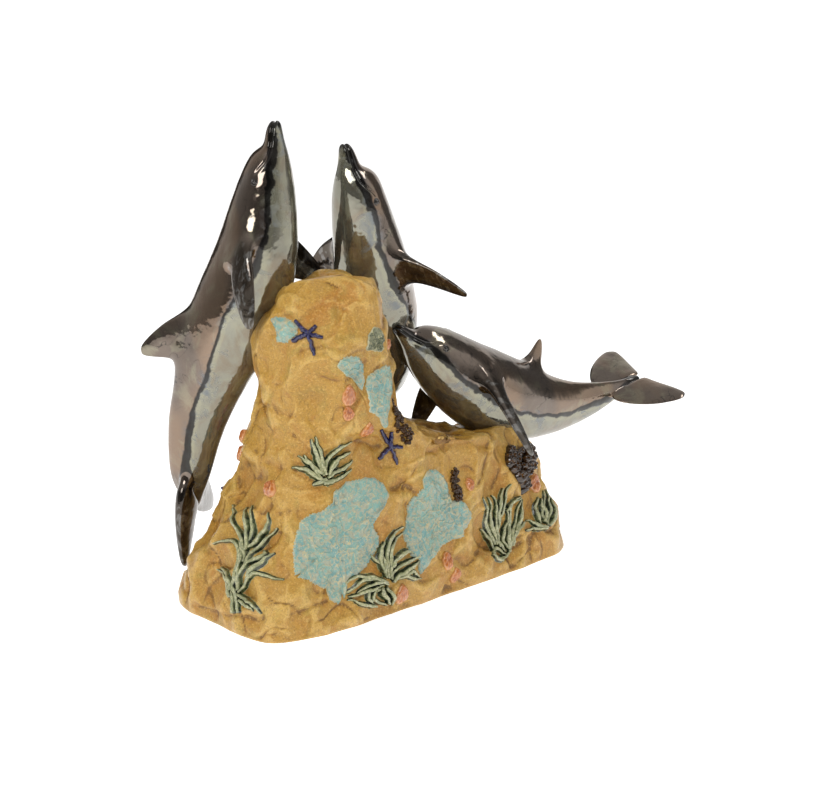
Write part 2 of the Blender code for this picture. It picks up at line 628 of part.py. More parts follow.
def pad(ground, spot, discs, steps, count, wave, lumpy=0.0):
    """Flat lump of clay: rings of points over the surface, the same below it.

    discs are overlapping ellipses in local millimetres that make the outline;
    steps gives share of the reach and height in metres.
    """
    mesh = bmesh.new()
    frame = ground.settle(*spot)
    weight = [d[2] * d[3] for d in discs]
    centre = (sum(d[0] * w for d, w in zip(discs, weight)) / sum(weight),
              sum(d[1] * w for d, w in zip(discs, weight)) / sum(weight))
    rings, unders = [], []
    for row, (share, lift) in enumerate(steps):
        top, under = [], []
        for k in range(count if share > 0.0 else 1):
            angle = 2.0 * pi * (k + 0.5) / count
            reach = share * outline_reach(discs, centre, angle)
            reach *= 1.0 + wave * sin(3.0 * angle + 315.0 * spot[0]) \
                + 0.6 * wave * sin(5.0 * angle + 243.0 * spot[1])
            x = centre[0] + reach * cos(angle)
            y = centre[1] + reach * sin(angle)
            high = lift * (1.0 + lumpy * sin(9.7 * k + 4.1 * row + 243.0 * spot[1]))
            top.append(mesh.verts.new(ground.press(frame, x, y, high)))
            if share < 0.999:
                under.append(mesh.verts.new(ground.press(frame, x, y, -SPRIG_SINK)))
        rings.append(top)
        unders.append(under if under else top)
    for layer, flip in ((rings, False), (unders, True)):
        for inner, outer in zip(layer, layer[1:]):
            for k in range(count):
                n = (k + 1) % count
                if len(inner) == 1:
                    faces = [(inner[0], outer[k], outer[n])]
                else:
                    faces = [(inner[k], outer[k], outer[n]), (inner[k], outer[n], inner[n])]
                for face in faces:
                    mesh.faces.new(tuple(reversed(face)) if flip else face)
    return mesh


def crust_outline(discs, count, wave, phase):
    """Outline round overlapping ellipses, a little uneven, in millimetres."""
    points = []
    for k in range(count):
        angle = 2.0 * pi * k / count
        reach = outline_reach(discs, (0.0, 0.0), angle)
        reach *= 1.0 + wave * sin(3.0 * angle + phase) + wave * sin(5.0 * angle + 2.0 * phase)
        points.append((reach * cos(angle), reach * sin(angle)))
    return points


SHORT_BLADE = ((0.50, 1.0), (1.0, 0.0))
LONG_BLADE = ((0.36, 1.0), (0.70, 0.8), (1.0, 0.0))


def frond_outline(hubs, blades, width):
    """Outline of blades growing from one root or from points along one stem.

    hubs are the named points of the stem in millimetres; blades are hub, angle,
    length and sideways bend, in order round the clump.
    """
    width = width * 1000.0
    hubs = {name: np.array(place, float) for name, place in hubs.items()}
    total = len(blades)
    turns = [radians(blade[1]) for blade in blades]
    spans = [(turns[(k + 1) % total] - turns[k]) % (2.0 * pi) for k in range(total)]
    points = []
    for k, (hub, _, length, sway) in enumerate(blades):
        along = np.array([cos(turns[k]), sin(turns[k])])
        aside = np.array([-along[1], along[0]])
        left, right = [], []
        for share, wide in LONG_BLADE if length > 30.0 else SHORT_BLADE:
            place = hubs[hub] + along * length * share + aside * sway * share * (1 - share)
            room_left = 0.34 * length * share * min(spans[k], 1.2)
            room_right = 0.34 * length * share * min(spans[k - 1], 1.2)
            left.append(place + aside * min(0.5 * width * wide, room_left))
            right.append(place - aside * min(0.5 * width * wide, room_right))
        points += right + left[-2::-1]
        here, after = blades[k], blades[(k + 1) % total]
        bisector = turns[k] + spans[k] / 2.0
        shortest = min(here[2], after[2])
        reach = min(max(0.45 * width, 0.42 * width / max(spans[k], 0.05)), 0.34 * shortest)
        if here[0] != after[0]:
            bisector = radians((here[1] + after[1]) / 2.0)
            reach = 0.5 * width
        middle = (hubs[here[0]] + hubs[after[0]]) / 2.0
        points.append(middle + reach * np.array([cos(bisector), sin(bisector)]))
    return points


def prism(ground, spot, outline):
    """Straight block through the surface of the mound with the outline given."""
    mesh = bmesh.new()
    origin, right, up, out = ground.settle(*spot)
    places = [right * (x / 1000.0) + up * (y / 1000.0) for x, y in outline]
    low = [mesh.verts.new(origin + place - out * 0.022) for place in places]
    high = [mesh.verts.new(origin + place + out * 0.022) for place in places]
    mesh.faces.new(list(reversed(low)))
    mesh.faces.new(high)
    for k in range(len(outline)):
        n = (k + 1) % len(outline)
        mesh.faces.new((low[k], low[n], high[n], high[k]))
    return mesh


SHELL_STEPS = ((0.0, 0.0032), (0.70, 0.0023), (1.0, 0.0001))
LUMP_STEPS = ((0.0, 0.0048), (0.50, 0.0048), (0.82, 0.0034), (1.0, 0.0001))


# Sprigs: place in the show view (share of the mound's length along, share of its
# height up, and the turn to another side), then the shape in local millimetres.
CRUSTS = {
    "coral_front_left": ((-0.067, 0.296), ((-12, -13, 34, 28), (14, 18, 26, 24)), 18),
    "coral_front_right": ((0.124, 0.251), ((4, 12, 23, 22), (-8, -13, 22, 25),
                                           (20, -8, 18, 15)), 16),
    "coral_back": ((-0.079, 0.288, 180), ((0, 0, 28, 22), (-20, 12, 18, 15)), 12),
    "coral_column_low": ((0.010, 0.658), ((0, 4, 12, 17), (3, -13, 7, 11)), 11),
    "coral_column_mid": ((-0.054, 0.761), ((-1, 2, 12, 9), (4, -7, 7, 7)), 10),
    "coral_column_left": ((-0.203, 0.868), ((0, 0, 7, 9),), 8),
    "coral_column_olive": ((-0.003, 0.835), ((0, 0, 8, 9),), 8),
}
LUMPS = {
    "barnacles_column": ((0.054, 0.568), ((0, 0, 7, 9), (3, -9, 5, 7), (-3, 9, 4, 7))),
    "barnacles_front": ((0.178, 0.337), ((0, 2, 4, 10), (2, -8, 4, 7))),
    "barnacles_ledge": ((0.343, 0.317), ((0, 0, 10, 11), (10, 6, 8, 8), (-7, 7, 7, 7),
                                         (4, -11, 7, 8))),
}
SHELLS = {
    "shell_left": ((-0.238, 0.407), 6.2),
    "shell_column_high": ((-0.060, 0.683), 6.0),
    "shell_column_low": ((-0.063, 0.630), 4.8),
    "shell_column_foot": ((-0.022, 0.568), 6.2),
    "shell_front_middle": ((0.054, 0.053), 6.6),
    "shell_front_upper": ((0.159, 0.107), 5.8),
    "shell_front_lower": ((0.181, 0.053), 5.2),
    "shell_front_high": ((0.213, 0.321), 4.0),
    "shell_right": ((0.378, 0.239), 6.0),
    "shell_side_upper": ((0.152, 0.506, -90), 5.2),
    "shell_side_lower": ((0.146, 0.453, -90), 5.6),
    "shell_column_right": ((-0.133, 0.782, 90), 4.0),
    "shell_back": ((0.063, 0.165, 180), 6.2),
}
STARS = {
    "starfish_column": ((-0.149, 0.860), 14.5, 100.0),
    "starfish_foot": ((0.032, 0.481), 16.5, 118.0),
    "starfish_side": ((0.140, 0.313, -100), 16.5, 95.0),
}
WEEDS = {
    "weed_left": ((-0.114, 0.444), (("root", -35, 12, 0), ("root", 24, 28, 5),
        ("root", 50, 32, 2), ("root", 77, 21, 0), ("root", 106, 29, 2), ("root", 137, 27, -2),
        ("root", 166, 22, 2), ("root", 214, 13, 0))),
    "weed_front_middle": ((0.019, 0.107), (("root", -72, 15, 1), ("root", -14, 28, -4),
        ("root", 23, 29, 4), ("root", 66, 32, -2), ("root", 97, 26, 1), ("root", 130, 27, -2),
        ("root", 158, 32, -2), ("root", 183, 34, 2), ("root", 208, 28, -1),
        ("root", 240, 17, 1))),
    "weed_front_right": ((0.289, 0.074), (("root", 31, 26, 1), ("root", 56, 40, 1),
        ("root", 77, 48, 2), ("root", 96, 46, 1), ("root", 116, 44, 1), ("root", 142, 22, 0))),
    "weed_right_end": ((0.406, 0.107), (("root", 62, 25, 2), ("root", 86, 28, -1),
        ("root", 112, 29, 2), ("root", 151, 19, -1))),
    "weed_back": ((-0.190, 0.140, 180), (("root", 40, 22, 2), ("root", 68, 30, -2),
        ("root", 98, 33, 2), ("root", 128, 27, 1), ("root", 156, 20, -1))),
}
ROOT_ONLY = {"root": (0, 0)}
STEM = {"root": (0, 4), "middle": (3, 26), "top": (7, 46)}
STEM_SPOT = (-0.314, 0.078)
STEM_BLADES = (("root", -8, 25, 5), ("middle", 8, 34, 5), ("middle", 34, 32, 5),
               ("top", 36, 34, 3), ("top", 60, 30, -1), ("top", 88, 29, 0),
               ("top", 122, 30, 3), ("middle", 152, 31, 6), ("root", 132, 24, 5),
               ("root", 262, 9, 0))


class Maker:
    """Builds nodes one after another, each trimmed clear of those before it."""

    def __init__(self):
        self.home = bpy.data.collections.new("dolphin_group")
        self.tools = bpy.data.collections.new("cutters")
        bpy.context.scene.collection.children.link(self.home)
        bpy.context.scene.collection.children.link(self.tools)
        self.made = []
        self.rooms = {}

    @staticmethod
    def box(item):
        """Lowest and highest corner of a node."""
        points = np.array([v.co[:] for v in item.data.vertices])
        return points.min(axis=0) - 0.001, points.max(axis=0) + 0.001

    def room(self, item):
        """Cutter that leaves the gap round a node."""
        if item.name not in self.rooms:
            self.rooms[item.name] = grown_copy(item, self.tools, GAP)
        return self.rooms[item.name]

    def add(self, name, mesh, material, rounding=0, within=None):
        """Make one node, keep what lies within a form and trim it."""
        bmesh.ops.recalc_face_normals(mesh, faces=mesh.faces)
        item = build_object(name, mesh, material, self.home)
        if rounding:
            smooth = item.modifiers.new("rounding", "SUBSURF")
            smooth.levels = rounding
            smooth.render_levels = rounding
        item.modifiers.new("triangles", "TRIANGULATE")
        apply_all(item)
        if within is not None:
            cut(item, within, "INTERSECT")
        low, high = self.box(item)
        for other in self.made:
            far, near = self.box(other)
            if np.all(low < near) and np.all(far < high):
                cut(item, self.room(other))
        self.made.append(item)
        return item


def main():
    """Build every piece of the group."""
    clear_scene()
    maker = Maker()
    ochre = glaze("ochre_rock_glaze", (0.52, 0.31, 0.09), 0.0, 0.45)
    lustre = glaze("metallic_dolphin_glaze", (0.25, 0.22, 0.19), 0.75, 0.12)
    cobalt = glaze("cobalt_glaze", (0.02, 0.02, 0.16), 0.0, 0.20)
    green = glaze("celadon_green_glaze", (0.16, 0.22, 0.12), 0.0, 0.15)
    turquoise = glaze("turquoise_glaze", (0.20, 0.46, 0.42), 0.0, 0.30)
    salmon = glaze("salmon_glaze", (0.60, 0.22, 0.12), 0.0, 0.18)
    amber = glaze("amber_brown_glaze", (0.09, 0.045, 0.015), 0.1, 0.12)
    rock = maker.add("rock_mound", rock_mesh(ROCK_AROUND, ROCK_LEVELS), ochre)
    for name, pose in POSES.items():
        maker.add(name, dolphin_cage(pose), lustre, rounding=1)
    ground = Ground([rock])
    skin = grown_copy(rock, maker.tools, CRUST_LIFT)
    for name, (spot, discs, count) in CRUSTS.items():
        outline = crust_outline(discs, count, 0.05, 315.0 * spot[0])
        maker.add(name, prism(ground, spot, outline), turquoise, within=skin)
    for name, (spot, discs) in LUMPS.items():
        maker.add(name, pad(ground, spot, discs, LUMP_STEPS, 8, 0.04, 0.35), amber)
    for name, (spot, reach) in SHELLS.items():
        disc = (0.0, 0.0, reach, reach * 1.12)
        maker.add(name, pad(ground, spot, (disc,), SHELL_STEPS, 6, 0.03), salmon)
    skin = grown_copy(rock, maker.tools, WEED_LIFT)
    for name, (spot, reach, spin) in STARS.items():
        arms = [("root", spin + 72.0 * k, reach, 0.0) for k in range(5)]
        outline = frond_outline(ROOT_ONLY, arms, ARM_WIDTH)
        maker.add(name, prism(ground, spot, outline), cobalt, within=skin)
    for name, (spot, blades) in WEEDS.items():
        outline = frond_outline(ROOT_ONLY, blades, BLADE_WIDTH)
        maker.add(name, prism(ground, spot, outline), green, within=skin)
    outline = frond_outline(STEM, STEM_BLADES, BLADE_WIDTH)
    maker.add("weed_left_end", prism(ground, STEM_SPOT, outline), green, within=skin)


main()
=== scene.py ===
"""Looks of the glazed ceramic dolphin group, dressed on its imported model.

The mound, the three dolphins and every clay sprig are built here as fine meshes
that stand for the plain solids of the same names, each with its own glaze.
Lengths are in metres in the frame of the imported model: the mound rests on its
flat underside at z = 0 with its long side along X.
"""
from __future__ import annotations

import logging
from dataclasses import dataclass, field
from enum import Enum
from math import cos, pi, radians, sin, sqrt
from typing import Iterable, Sequence

import bmesh
import bpy
import numpy as np
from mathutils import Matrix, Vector, noise
from mathutils.bvhtree import BVHTree
from mathutils.kdtree import KDTree

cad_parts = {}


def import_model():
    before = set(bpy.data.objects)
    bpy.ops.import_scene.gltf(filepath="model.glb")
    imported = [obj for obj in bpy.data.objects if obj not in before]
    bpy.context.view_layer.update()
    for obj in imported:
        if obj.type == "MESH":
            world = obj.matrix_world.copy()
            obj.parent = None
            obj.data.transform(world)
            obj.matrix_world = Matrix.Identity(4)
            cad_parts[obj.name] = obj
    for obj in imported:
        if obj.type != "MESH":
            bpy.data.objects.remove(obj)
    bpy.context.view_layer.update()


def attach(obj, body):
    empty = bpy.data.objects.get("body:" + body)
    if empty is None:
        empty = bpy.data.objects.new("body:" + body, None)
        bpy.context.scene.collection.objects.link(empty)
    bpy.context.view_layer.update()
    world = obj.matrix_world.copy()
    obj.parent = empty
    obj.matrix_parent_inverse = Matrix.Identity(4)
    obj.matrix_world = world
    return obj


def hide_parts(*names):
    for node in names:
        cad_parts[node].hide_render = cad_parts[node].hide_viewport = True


LOG = logging.getLogger("dolphin_group")

Colour = tuple[float, float, float]
Place = tuple[float, ...]
Table = tuple[tuple[float, ...], ...]
Faces = list[tuple[int, ...]]

MILLIMETRE = 0.001
WHITE = (1.0, 1.0, 1.0)

# The picture plane of the group's show side, as plan directions.
SHOW_AZIMUTH = -42.5
SHOW_ELEVATION = 16.0
SHOW_TURN = radians(SHOW_AZIMUTH)
ALONG = np.array([cos(SHOW_TURN), sin(SHOW_TURN), 0.0])
AWAY = np.array([-sin(SHOW_TURN), cos(SHOW_TURN), 0.0])
UP = np.array([0.0, 0.0, 1.0])

MOUND_LENGTH = 0.315
MOUND_DEPTH = 0.144
MOUND_HEIGHT = 0.243
BIG_LENGTH = 0.322
CALF_LENGTH = 0.272


class Slot(Enum):
    """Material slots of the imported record."""

    OCHRE = "ochre_rock_glaze"
    LUSTRE = "metallic_dolphin_glaze"
    COBALT = "cobalt_glaze"
    GREEN = "celadon_green_glaze"
    TURQUOISE = "turquoise_glaze"
    SALMON = "salmon_glaze"
    AMBER = "amber_brown_glaze"


# Shader arithmetic

class Channel:
    """A value inside a shader that takes part in Python arithmetic."""

    def __init__(self, tree: "GlazeTree", socket: bpy.types.NodeSocket) -> None:
        """Wrap one output socket.

        Args:
            tree: the tree that the socket belongs to.
            socket: the output socket.
        """
        self.tree = tree
        self.socket = socket

    def _join(self, operation: str, *values: object) -> "Channel":
        """Return one Math node over values or channels."""
        return self.tree.out("ShaderNodeMath", {"operation": operation}, *values)

    def __add__(self, other: object) -> "Channel":
        """Return self + other."""
        return self._join("ADD", self, other)

    __radd__ = __add__

    def __sub__(self, other: object) -> "Channel":
        """Return self - other."""
        return self._join("SUBTRACT", self, other)

    def __rsub__(self, other: object) -> "Channel":
        """Return other - self."""
        return self._join("SUBTRACT", other, self)

    def __mul__(self, other: object) -> "Channel":
        """Return self * other."""
        return self._join("MULTIPLY", self, other)

    __rmul__ = __mul__

    def __abs__(self) -> "Channel":
        """Return the size of self without its sign."""
        return self._join("ABSOLUTE", self)


class GlazeTree:
    """Node tree of one material or of the world, built by short calls."""

    def __init__(self, owner: bpy.types.Material | bpy.types.World) -> None:
        """Start with an empty tree.

        Args:
            owner: the material or world whose nodes are made here.
        """
        owner.use_nodes = True
        self.owner = owner
        self.tree = owner.node_tree
        self.tree.nodes.clear()

    @staticmethod
    def new(slot: Slot, name: str = "") -> "GlazeTree":
        """Start a material named after its slot and the piece that wears it."""
        return GlazeTree(bpy.data.materials.new(slot.value + name))

    def node(self, kind: str, settings: dict | None = None, *values: object,
             **named: object) -> bpy.types.Node:
        """Make one node.

        Args:
            kind: node type name.
            settings: node properties, set before the sockets; "stops" holds the
                places and colours of a ramp.
            *values: values or channels for the first sockets in order.
            **named: values or channels by socket name, with _ for a space.

        Returns:
            The node.
        """
        made = self.tree.nodes.new(kind)
        for name, value in (settings or {}).items():
            if name == "stops":
                self._set_stops(made.color_ramp.elements, value)
            else:
                setattr(made, name, value)
        for index, value in enumerate(values):
            self.plug(made.inputs[index], value)
        for name, value in named.items():
            self.plug(made.inputs[name.replace("_", " ")], value)
        return made

    def plug(self, target: bpy.types.NodeSocket, value: object) -> None:
        """Feed a socket with a channel or a constant.

        Args:
            target: the input socket.
            value: channel, number, colour or vector; None leaves the socket.
        """
        if isinstance(value, Channel):
            self.tree.links.new(value.socket, target)
        elif value is not None:
            if target.type == "RGBA" and len(value) == 3:
                value = (*value, 1.0)
            target.default_value = value

    @staticmethod
    def _set_stops(elements: object, stops: Sequence[tuple[float, Colour]]) -> None:
        """Give a ramp its places and colours.

        Args:
            elements: the ramp's elements.
            stops: place and colour, the first at 0 and the last at 1.
        """
        for place, colour in stops[1:-1]:
            elements.new(place).color = (*colour, 1.0)
        elements[0].color = (*stops[0][1], 1.0)
        elements[-1].color = (*stops[-1][1], 1.0)

    def out(self, kind: str, settings: dict | None = None, *values: object,
            **named: object) -> Channel:
        """Make one node and return its first output."""
        return Channel(self, self.node(kind, settings, *values, **named).outputs[0])

    def place(self) -> Channel:
        """Return the object coordinates, which are row-frame metres."""
        made = self.node("ShaderNodeTexCoord")
        return Channel(self, made.outputs["Object"])

    def painted(self, name: str) -> Channel:
        """Return the value of a mesh attribute."""
        made = self.node("ShaderNodeAttribute", {"attribute_name": name})
        return Channel(self, made.outputs["Fac"])

    def stretched(self, scale: Place) -> Channel:
        """Return the object coordinates scaled along X, Y and Z."""
        return self.out("ShaderNodeVectorMath", {"operation": "MULTIPLY"},
                        self.place(), scale)

    def noise(self, scale: float, detail: float = 2.0, rough: float = 0.5,
              twist: float = 0.0, at: Channel | None = None) -> Channel:
        """Return cloudy noise around 0.5, with so many waves a metre."""
        return self.out("ShaderNodeTexNoise", {"noise_dimensions": "3D"},
                        Vector=at or self.place(), Scale=scale, Detail=detail,
                        Roughness=rough, Distortion=twist)

    def cells(self, scale: float) -> Channel:
        """Return the distance to the nearest of scattered points, so many a metre."""
        return self.out("ShaderNodeTexVoronoi", {"voronoi_dimensions": "3D"},
                        Vector=self.place(), Scale=scale)

    def ease(self, value: Channel, low: float, high: float) -> Channel:
        """Return 0 below low, 1 above high and a soft step between."""
        return self.out("ShaderNodeMapRange", {"interpolation_type": "SMOOTHSTEP"},
                        value, low, high, 0.0, 1.0)

    def graded(self, angle: Channel, table: Table) -> Channel:
        """Read a table of degrees and values up to 2 at an angle in radians."""
        stops = [(turn / 360.0 + 0.5, (value / 2.0,) * 3) for turn, value in table]
        share = angle * (0.5 / pi) + 0.5
        return self.out("ShaderNodeValToRGB", {"stops": stops}, share) * 2.0

    def mix(self, first: object, second: object, share: object) -> Channel:
        """Mix two colours.

        Args:
            first: colour at share 0.
            second: colour at share 1.
            share: number or channel.

        Returns:
            The mixed colour.
        """
        made = self.node("ShaderNodeMix", {"data_type": "RGBA", "clamp_factor": True})
        for index, value in ((0, share), (6, first), (7, second)):
            self.plug(made.inputs[index], value)
        return Channel(self, made.outputs[2])

    def bump(self, height: Channel, distance: float, strength: float,
             under: Channel | None = None) -> Channel:
        """Return a surface direction roughened by a height whose 1 stands for a distance."""
        return self.out("ShaderNodeBump", None, Strength=strength, Distance=distance,
                        Height=height, Normal=under)

    def finish(self, **named: object) -> bpy.types.Material:
        """End a material with one Principled shader.

        Args:
            **named: the shader's sockets by name, with _ for a space.

        Returns:
            The material.
        """
        shader = self.node("ShaderNodeBsdfPrincipled", None, **named)
        end = self.node("ShaderNodeOutputMaterial")
        self.tree.links.new(shader.outputs[0], end.inputs[0])
        return self.owner


# Finishes

@dataclass(frozen=True)
class OchreGlaze:
    """Satin ochre glaze of the mound, brown in the hollows and pale on the edges."""

    body: Colour = (0.45, 0.248, 0.04)
    rust: Colour = (0.4, 0.16, 0.02)
    pale: Colour = (0.69, 0.455, 0.135)
    pooled: Colour = (0.16, 0.072, 0.01)
    olive: Colour = (0.35, 0.245, 0.045)
    speck: Colour = (0.15, 0.08, 0.02)

    def material(self) -> bpy.types.Material:
        """Make and return the ochre material."""
        tree = GlazeTree.new(Slot.OCHRE)
        bend, broad = tree.painted("bend"), tree.painted("broad")
        patch = tree.noise(24.0, 4.0, 0.62, 0.5)
        cloud = tree.noise(62.0, 4.0, 0.62, 0.6)
        blot = tree.noise(150.0, 3.0, 0.6, 0.5)
        colour = tree.mix(self.body, self.rust, tree.ease(patch, 0.48, 0.7) * 0.7)
        colour = tree.mix(colour, self.olive, tree.ease(cloud, 0.5, 0.68) * 0.6)
        colour = tree.mix(colour, self.rust, tree.ease(blot, 0.55, 0.7) * 0.45)
        hollow = tree.ease(broad * -1.0 + (cloud - 0.5) * 0.8, 0.06, 0.85)
        colour = tree.mix(colour, self.rust, hollow * 0.5)
        crease = tree.ease(bend * -1.0 + (blot - 0.5) * 0.3, 0.2, 1.0)
        colour = tree.mix(colour, self.pooled, crease * 0.8)
        worn = tree.ease(bend * 0.7 + broad * 0.5 + (cloud - 0.5) * 1.3, 0.2, 0.95)
        colour = tree.mix(colour, self.pale, worn * 0.52)
        grain = tree.noise(720.0, 4.0, 0.8)
        colour = tree.mix(colour, self.speck, tree.ease(grain, 0.49, 0.64) * 0.5)
        bright = tree.noise(540.0, 3.0, 0.75)
        colour = tree.mix(colour, self.pale, tree.ease(bright, 0.51, 0.66) * 0.46)
        pits = tree.ease(tree.cells(420.0), 0.2, 0.06)
        colour = tree.mix(colour, self.pooled, pits * 0.4)
        rough = 0.27 + patch * 0.18 - worn * 0.08
        height = tree.noise(300.0, 4.0, 0.68)
        rise = tree.bump(height, 0.001, 0.8)
        rise = tree.bump(grain, 0.0004, 0.7, rise)
        return tree.finish(Base_Color=colour, Roughness=rough, Normal=rise,
                           Specular_IOR_Level=0.5)


@dataclass(frozen=True)
class LustreGlaze:
    """Mirror glaze of a dolphin: brown lustre back, putty belly, a runny dark line."""

    back: Colour = (0.235, 0.165, 0.115)
    back_far: Colour = (0.165, 0.13, 0.105)
    belly: Colour = (0.24, 0.232, 0.182)
    belly_far: Colour = (0.205, 0.165, 0.115)
    line: Colour = (0.012, 0.011, 0.01)
    drip: Colour = (0.13, 0.15, 0.17)
    edge: Colour = (0.33, 0.32, 0.22)
    fin: Colour = (0.06, 0.046, 0.034)
    fin_streak: Colour = (0.24, 0.235, 0.225)

    def material(self, name: str) -> bpy.types.Material:
        """Make the material.

        Args:
            name: name of the dolphin that wears it.

        Returns:
            The lustre material.
        """
        tree = GlazeTree.new(Slot.LUSTRE, "_" + name)
        tone, bend = tree.painted("tone"), tree.painted("bend")
        ink, flipper = tree.painted("ink"), tree.painted("flipper")
        broad = tree.noise(15.0, 2.0, 0.5, 0.4)
        wave = tree.noise(52.0, 3.0, 0.55, 0.8)
        fine = tree.noise(190.0, 2.0, 0.6, 0.4)
        shore = tone + (wave - 0.5) * 8.0 + (fine - 0.5) * 1.0
        on_back = tree.ease(shore, -0.6, 0.6)
        back = tree.mix(self.back, self.back_far, tree.ease(broad, 0.42, 0.58))
        belly = tree.mix(self.belly, self.belly_far, tree.ease(wave, 0.44, 0.66) * 0.8)
        rim = tree.ease(abs(shore + 2.0 + ink), 2.2, 0.4)
        belly = tree.mix(belly, self.edge, rim * 0.4)
        colour = tree.mix(belly, back, on_back)
        blot = tree.noise(58.0, 3.0, 0.6, 1.0)
        near = tree.ease(abs(tone + 3.0), 11.0, 2.0)
        drip = tree.ease(blot, 0.48, 0.66) * near
        colour = tree.mix(colour, self.drip, drip * 0.75)
        cloud = tree.noise(33.0, 4.0, 0.6, 1.5)
        colour = tree.mix(colour, self.edge, tree.ease(cloud, 0.5, 0.66) * 0.35)
        wide = ink * (0.45 + wave * 1.6)
        band = tree.ease(abs(shore) - wide, 0.7, -0.5)
        colour = tree.mix(colour, self.line, band * 0.94)
        vein = tree.ease(abs(tree.noise(30.0, 2.0, 0.5, 1.6) - 0.5), 0.008, 0.002)
        vein = vein * tree.ease(broad, 0.46, 0.56)
        colour = tree.mix(colour, self.line, vein * on_back * 0.7)
        along = tree.stretched((0.35, 1.0, 0.45))
        streak = tree.ease(tree.noise(260.0, 2.0, 0.6, 0.5, along), 0.5, 0.62)
        # Flippers take their dark fin glaze; where the fin mark runs onto a tail, the same dark is
        # a painted dark reflection.
        dark = tree.mix(self.fin, self.fin_streak, streak * 0.7)
        colour = tree.mix(colour, dark, flipper * 0.92)
        colour = tree.mix(colour, self.edge, tree.ease(bend, 0.45, 1.1) * 0.45)
        rough = 0.06 + wave * 0.05 + drip * 0.06
        metal = 0.9 - drip * 0.4 - (1.0 - on_back) * 0.12
        height = tree.noise(90.0, 2.0, 0.5)
        rise = tree.bump(height, 0.0011, 0.5)
        return tree.finish(Base_Color=colour, Metallic=metal, Roughness=rough, Normal=rise,
                           Coat_Weight=0.45, Coat_Roughness=0.03, Coat_IOR=1.5)


@dataclass(frozen=True)
class CrustGlaze:
    """Turquoise pools between cream and tan veins."""

    pool: Colour = (0.185, 0.35, 0.31)
    deep: Colour = (0.13, 0.3, 0.3)
    grey: Colour = (0.33, 0.35, 0.27)
    vein: Colour = (0.5, 0.4, 0.2)
    cream: Colour = (0.56, 0.55, 0.37)

    def material(self, name: str) -> bpy.types.Material:
        """Make the material.

        Args:
            name: name of the crust that wears it.

        Returns:
            The turquoise material.
        """
        tree = GlazeTree.new(Slot.TURQUOISE, "_" + name)
        vein, rim = tree.painted("vein"), tree.painted("rim")
        cloud = tree.noise(70.0, 3.0, 0.6)
        blot = tree.noise(260.0, 2.0, 0.6, 0.8)
        worms = tree.noise(680.0, 3.0, 0.68, 1.3)
        fleck = tree.noise(1400.0, 2.0, 0.7)
        colour = tree.mix(self.pool, self.deep, tree.ease(cloud, 0.44, 0.64))
        colour = tree.mix(colour, self.grey, tree.ease(blot, 0.46, 0.58) * 0.9)
        high = tree.ease(vein * 0.7 + (worms - 0.5) * 2.2, 0.34, 0.8)
        colour = tree.mix(colour, self.vein, high * 0.75)
        colour = tree.mix(colour, self.cream, tree.ease(worms, 0.56, 0.66) * 0.7)
        colour = tree.mix(colour, self.vein, tree.ease(fleck, 0.54, 0.64) * 0.55)
        edge = tree.ease(rim + (worms - 0.5) * 0.5, 0.3, 0.8)
        colour = tree.mix(colour, self.cream, edge * 0.6)
        rise = tree.bump(tree.noise(620.0, 3.0, 0.6), 0.0004, 0.6)
        return tree.finish(Base_Color=colour, Roughness=0.24 + worms * 0.22, Normal=rise,
                           Specular_IOR_Level=0.5)


@dataclass(frozen=True)
class LeafGlaze:
    """Celadon on the edges of the leaves, green-black where it pools."""

    leaf: Colour = (0.25, 0.265, 0.135)
    cream: Colour = (0.5, 0.48, 0.27)
    pool: Colour = (0.01, 0.018, 0.009)
    moss: Colour = (0.06, 0.08, 0.026)

    def material(self, name: str) -> bpy.types.Material:
        """Make the material.

        Args:
            name: name of the weed that wears it.

        Returns:
            The green material.
        """
        tree = GlazeTree.new(Slot.GREEN, "_" + name)
        crest = tree.painted("crest")
        cloud = tree.noise(240.0, 3.0, 0.6)
        colour = tree.mix(self.pool, self.moss, tree.ease(cloud, 0.4, 0.66))
        grain = tree.noise(620.0, 3.0, 0.65)
        top = tree.ease(crest + (cloud - 0.5) * 0.7, 0.26, 0.76)
        colour = tree.mix(colour, self.leaf, top)
        worn = tree.ease(crest + (grain - 0.5) * 2.4 + (cloud - 0.5) * 1.2, 0.7, 1.2)
        colour = tree.mix(colour, self.cream, worn * 0.85)
        rise = tree.bump(grain, 0.0005, 0.6)
        return tree.finish(Base_Color=colour, Roughness=0.12 + cloud * 0.1, Normal=rise,
                           Coat_Weight=0.6, Coat_Roughness=0.05)


@dataclass(frozen=True)
class GlossGlaze:
    """Wet gloss over a body colour with a second colour in the hollows."""

    slot: Slot
    body: Colour
    hollow: Colour
    light: Colour
    metal: float = 0.0
    rough: float = 0.14
    grain: float = 300.0

    def material(self, name: str) -> bpy.types.Material:
        """Make the material.

        Args:
            name: name of the piece that wears it.

        Returns:
            The gloss material.
        """
        tree = GlazeTree.new(self.slot, "_" + name)
        bend = tree.painted("bend")
        cloud = tree.noise(self.grain, 3.0, 0.6, 0.5)
        dip = tree.ease(bend * -1.0 + (cloud - 0.5) * 0.9, 0.02, 0.6)
        colour = tree.mix(self.body, self.hollow, dip)
        high = tree.ease(bend + (cloud - 0.5) * 0.7, 0.16, 0.85)
        colour = tree.mix(colour, self.light, high * 0.8)
        rise = tree.bump(tree.noise(self.grain * 2.2, 2.0, 0.5), 0.0003, 0.45)
        return tree.finish(Base_Color=colour, Metallic=self.metal,
                           Roughness=self.rough + cloud * 0.08, Normal=rise,
                           Coat_Weight=0.6, Coat_Roughness=0.04)


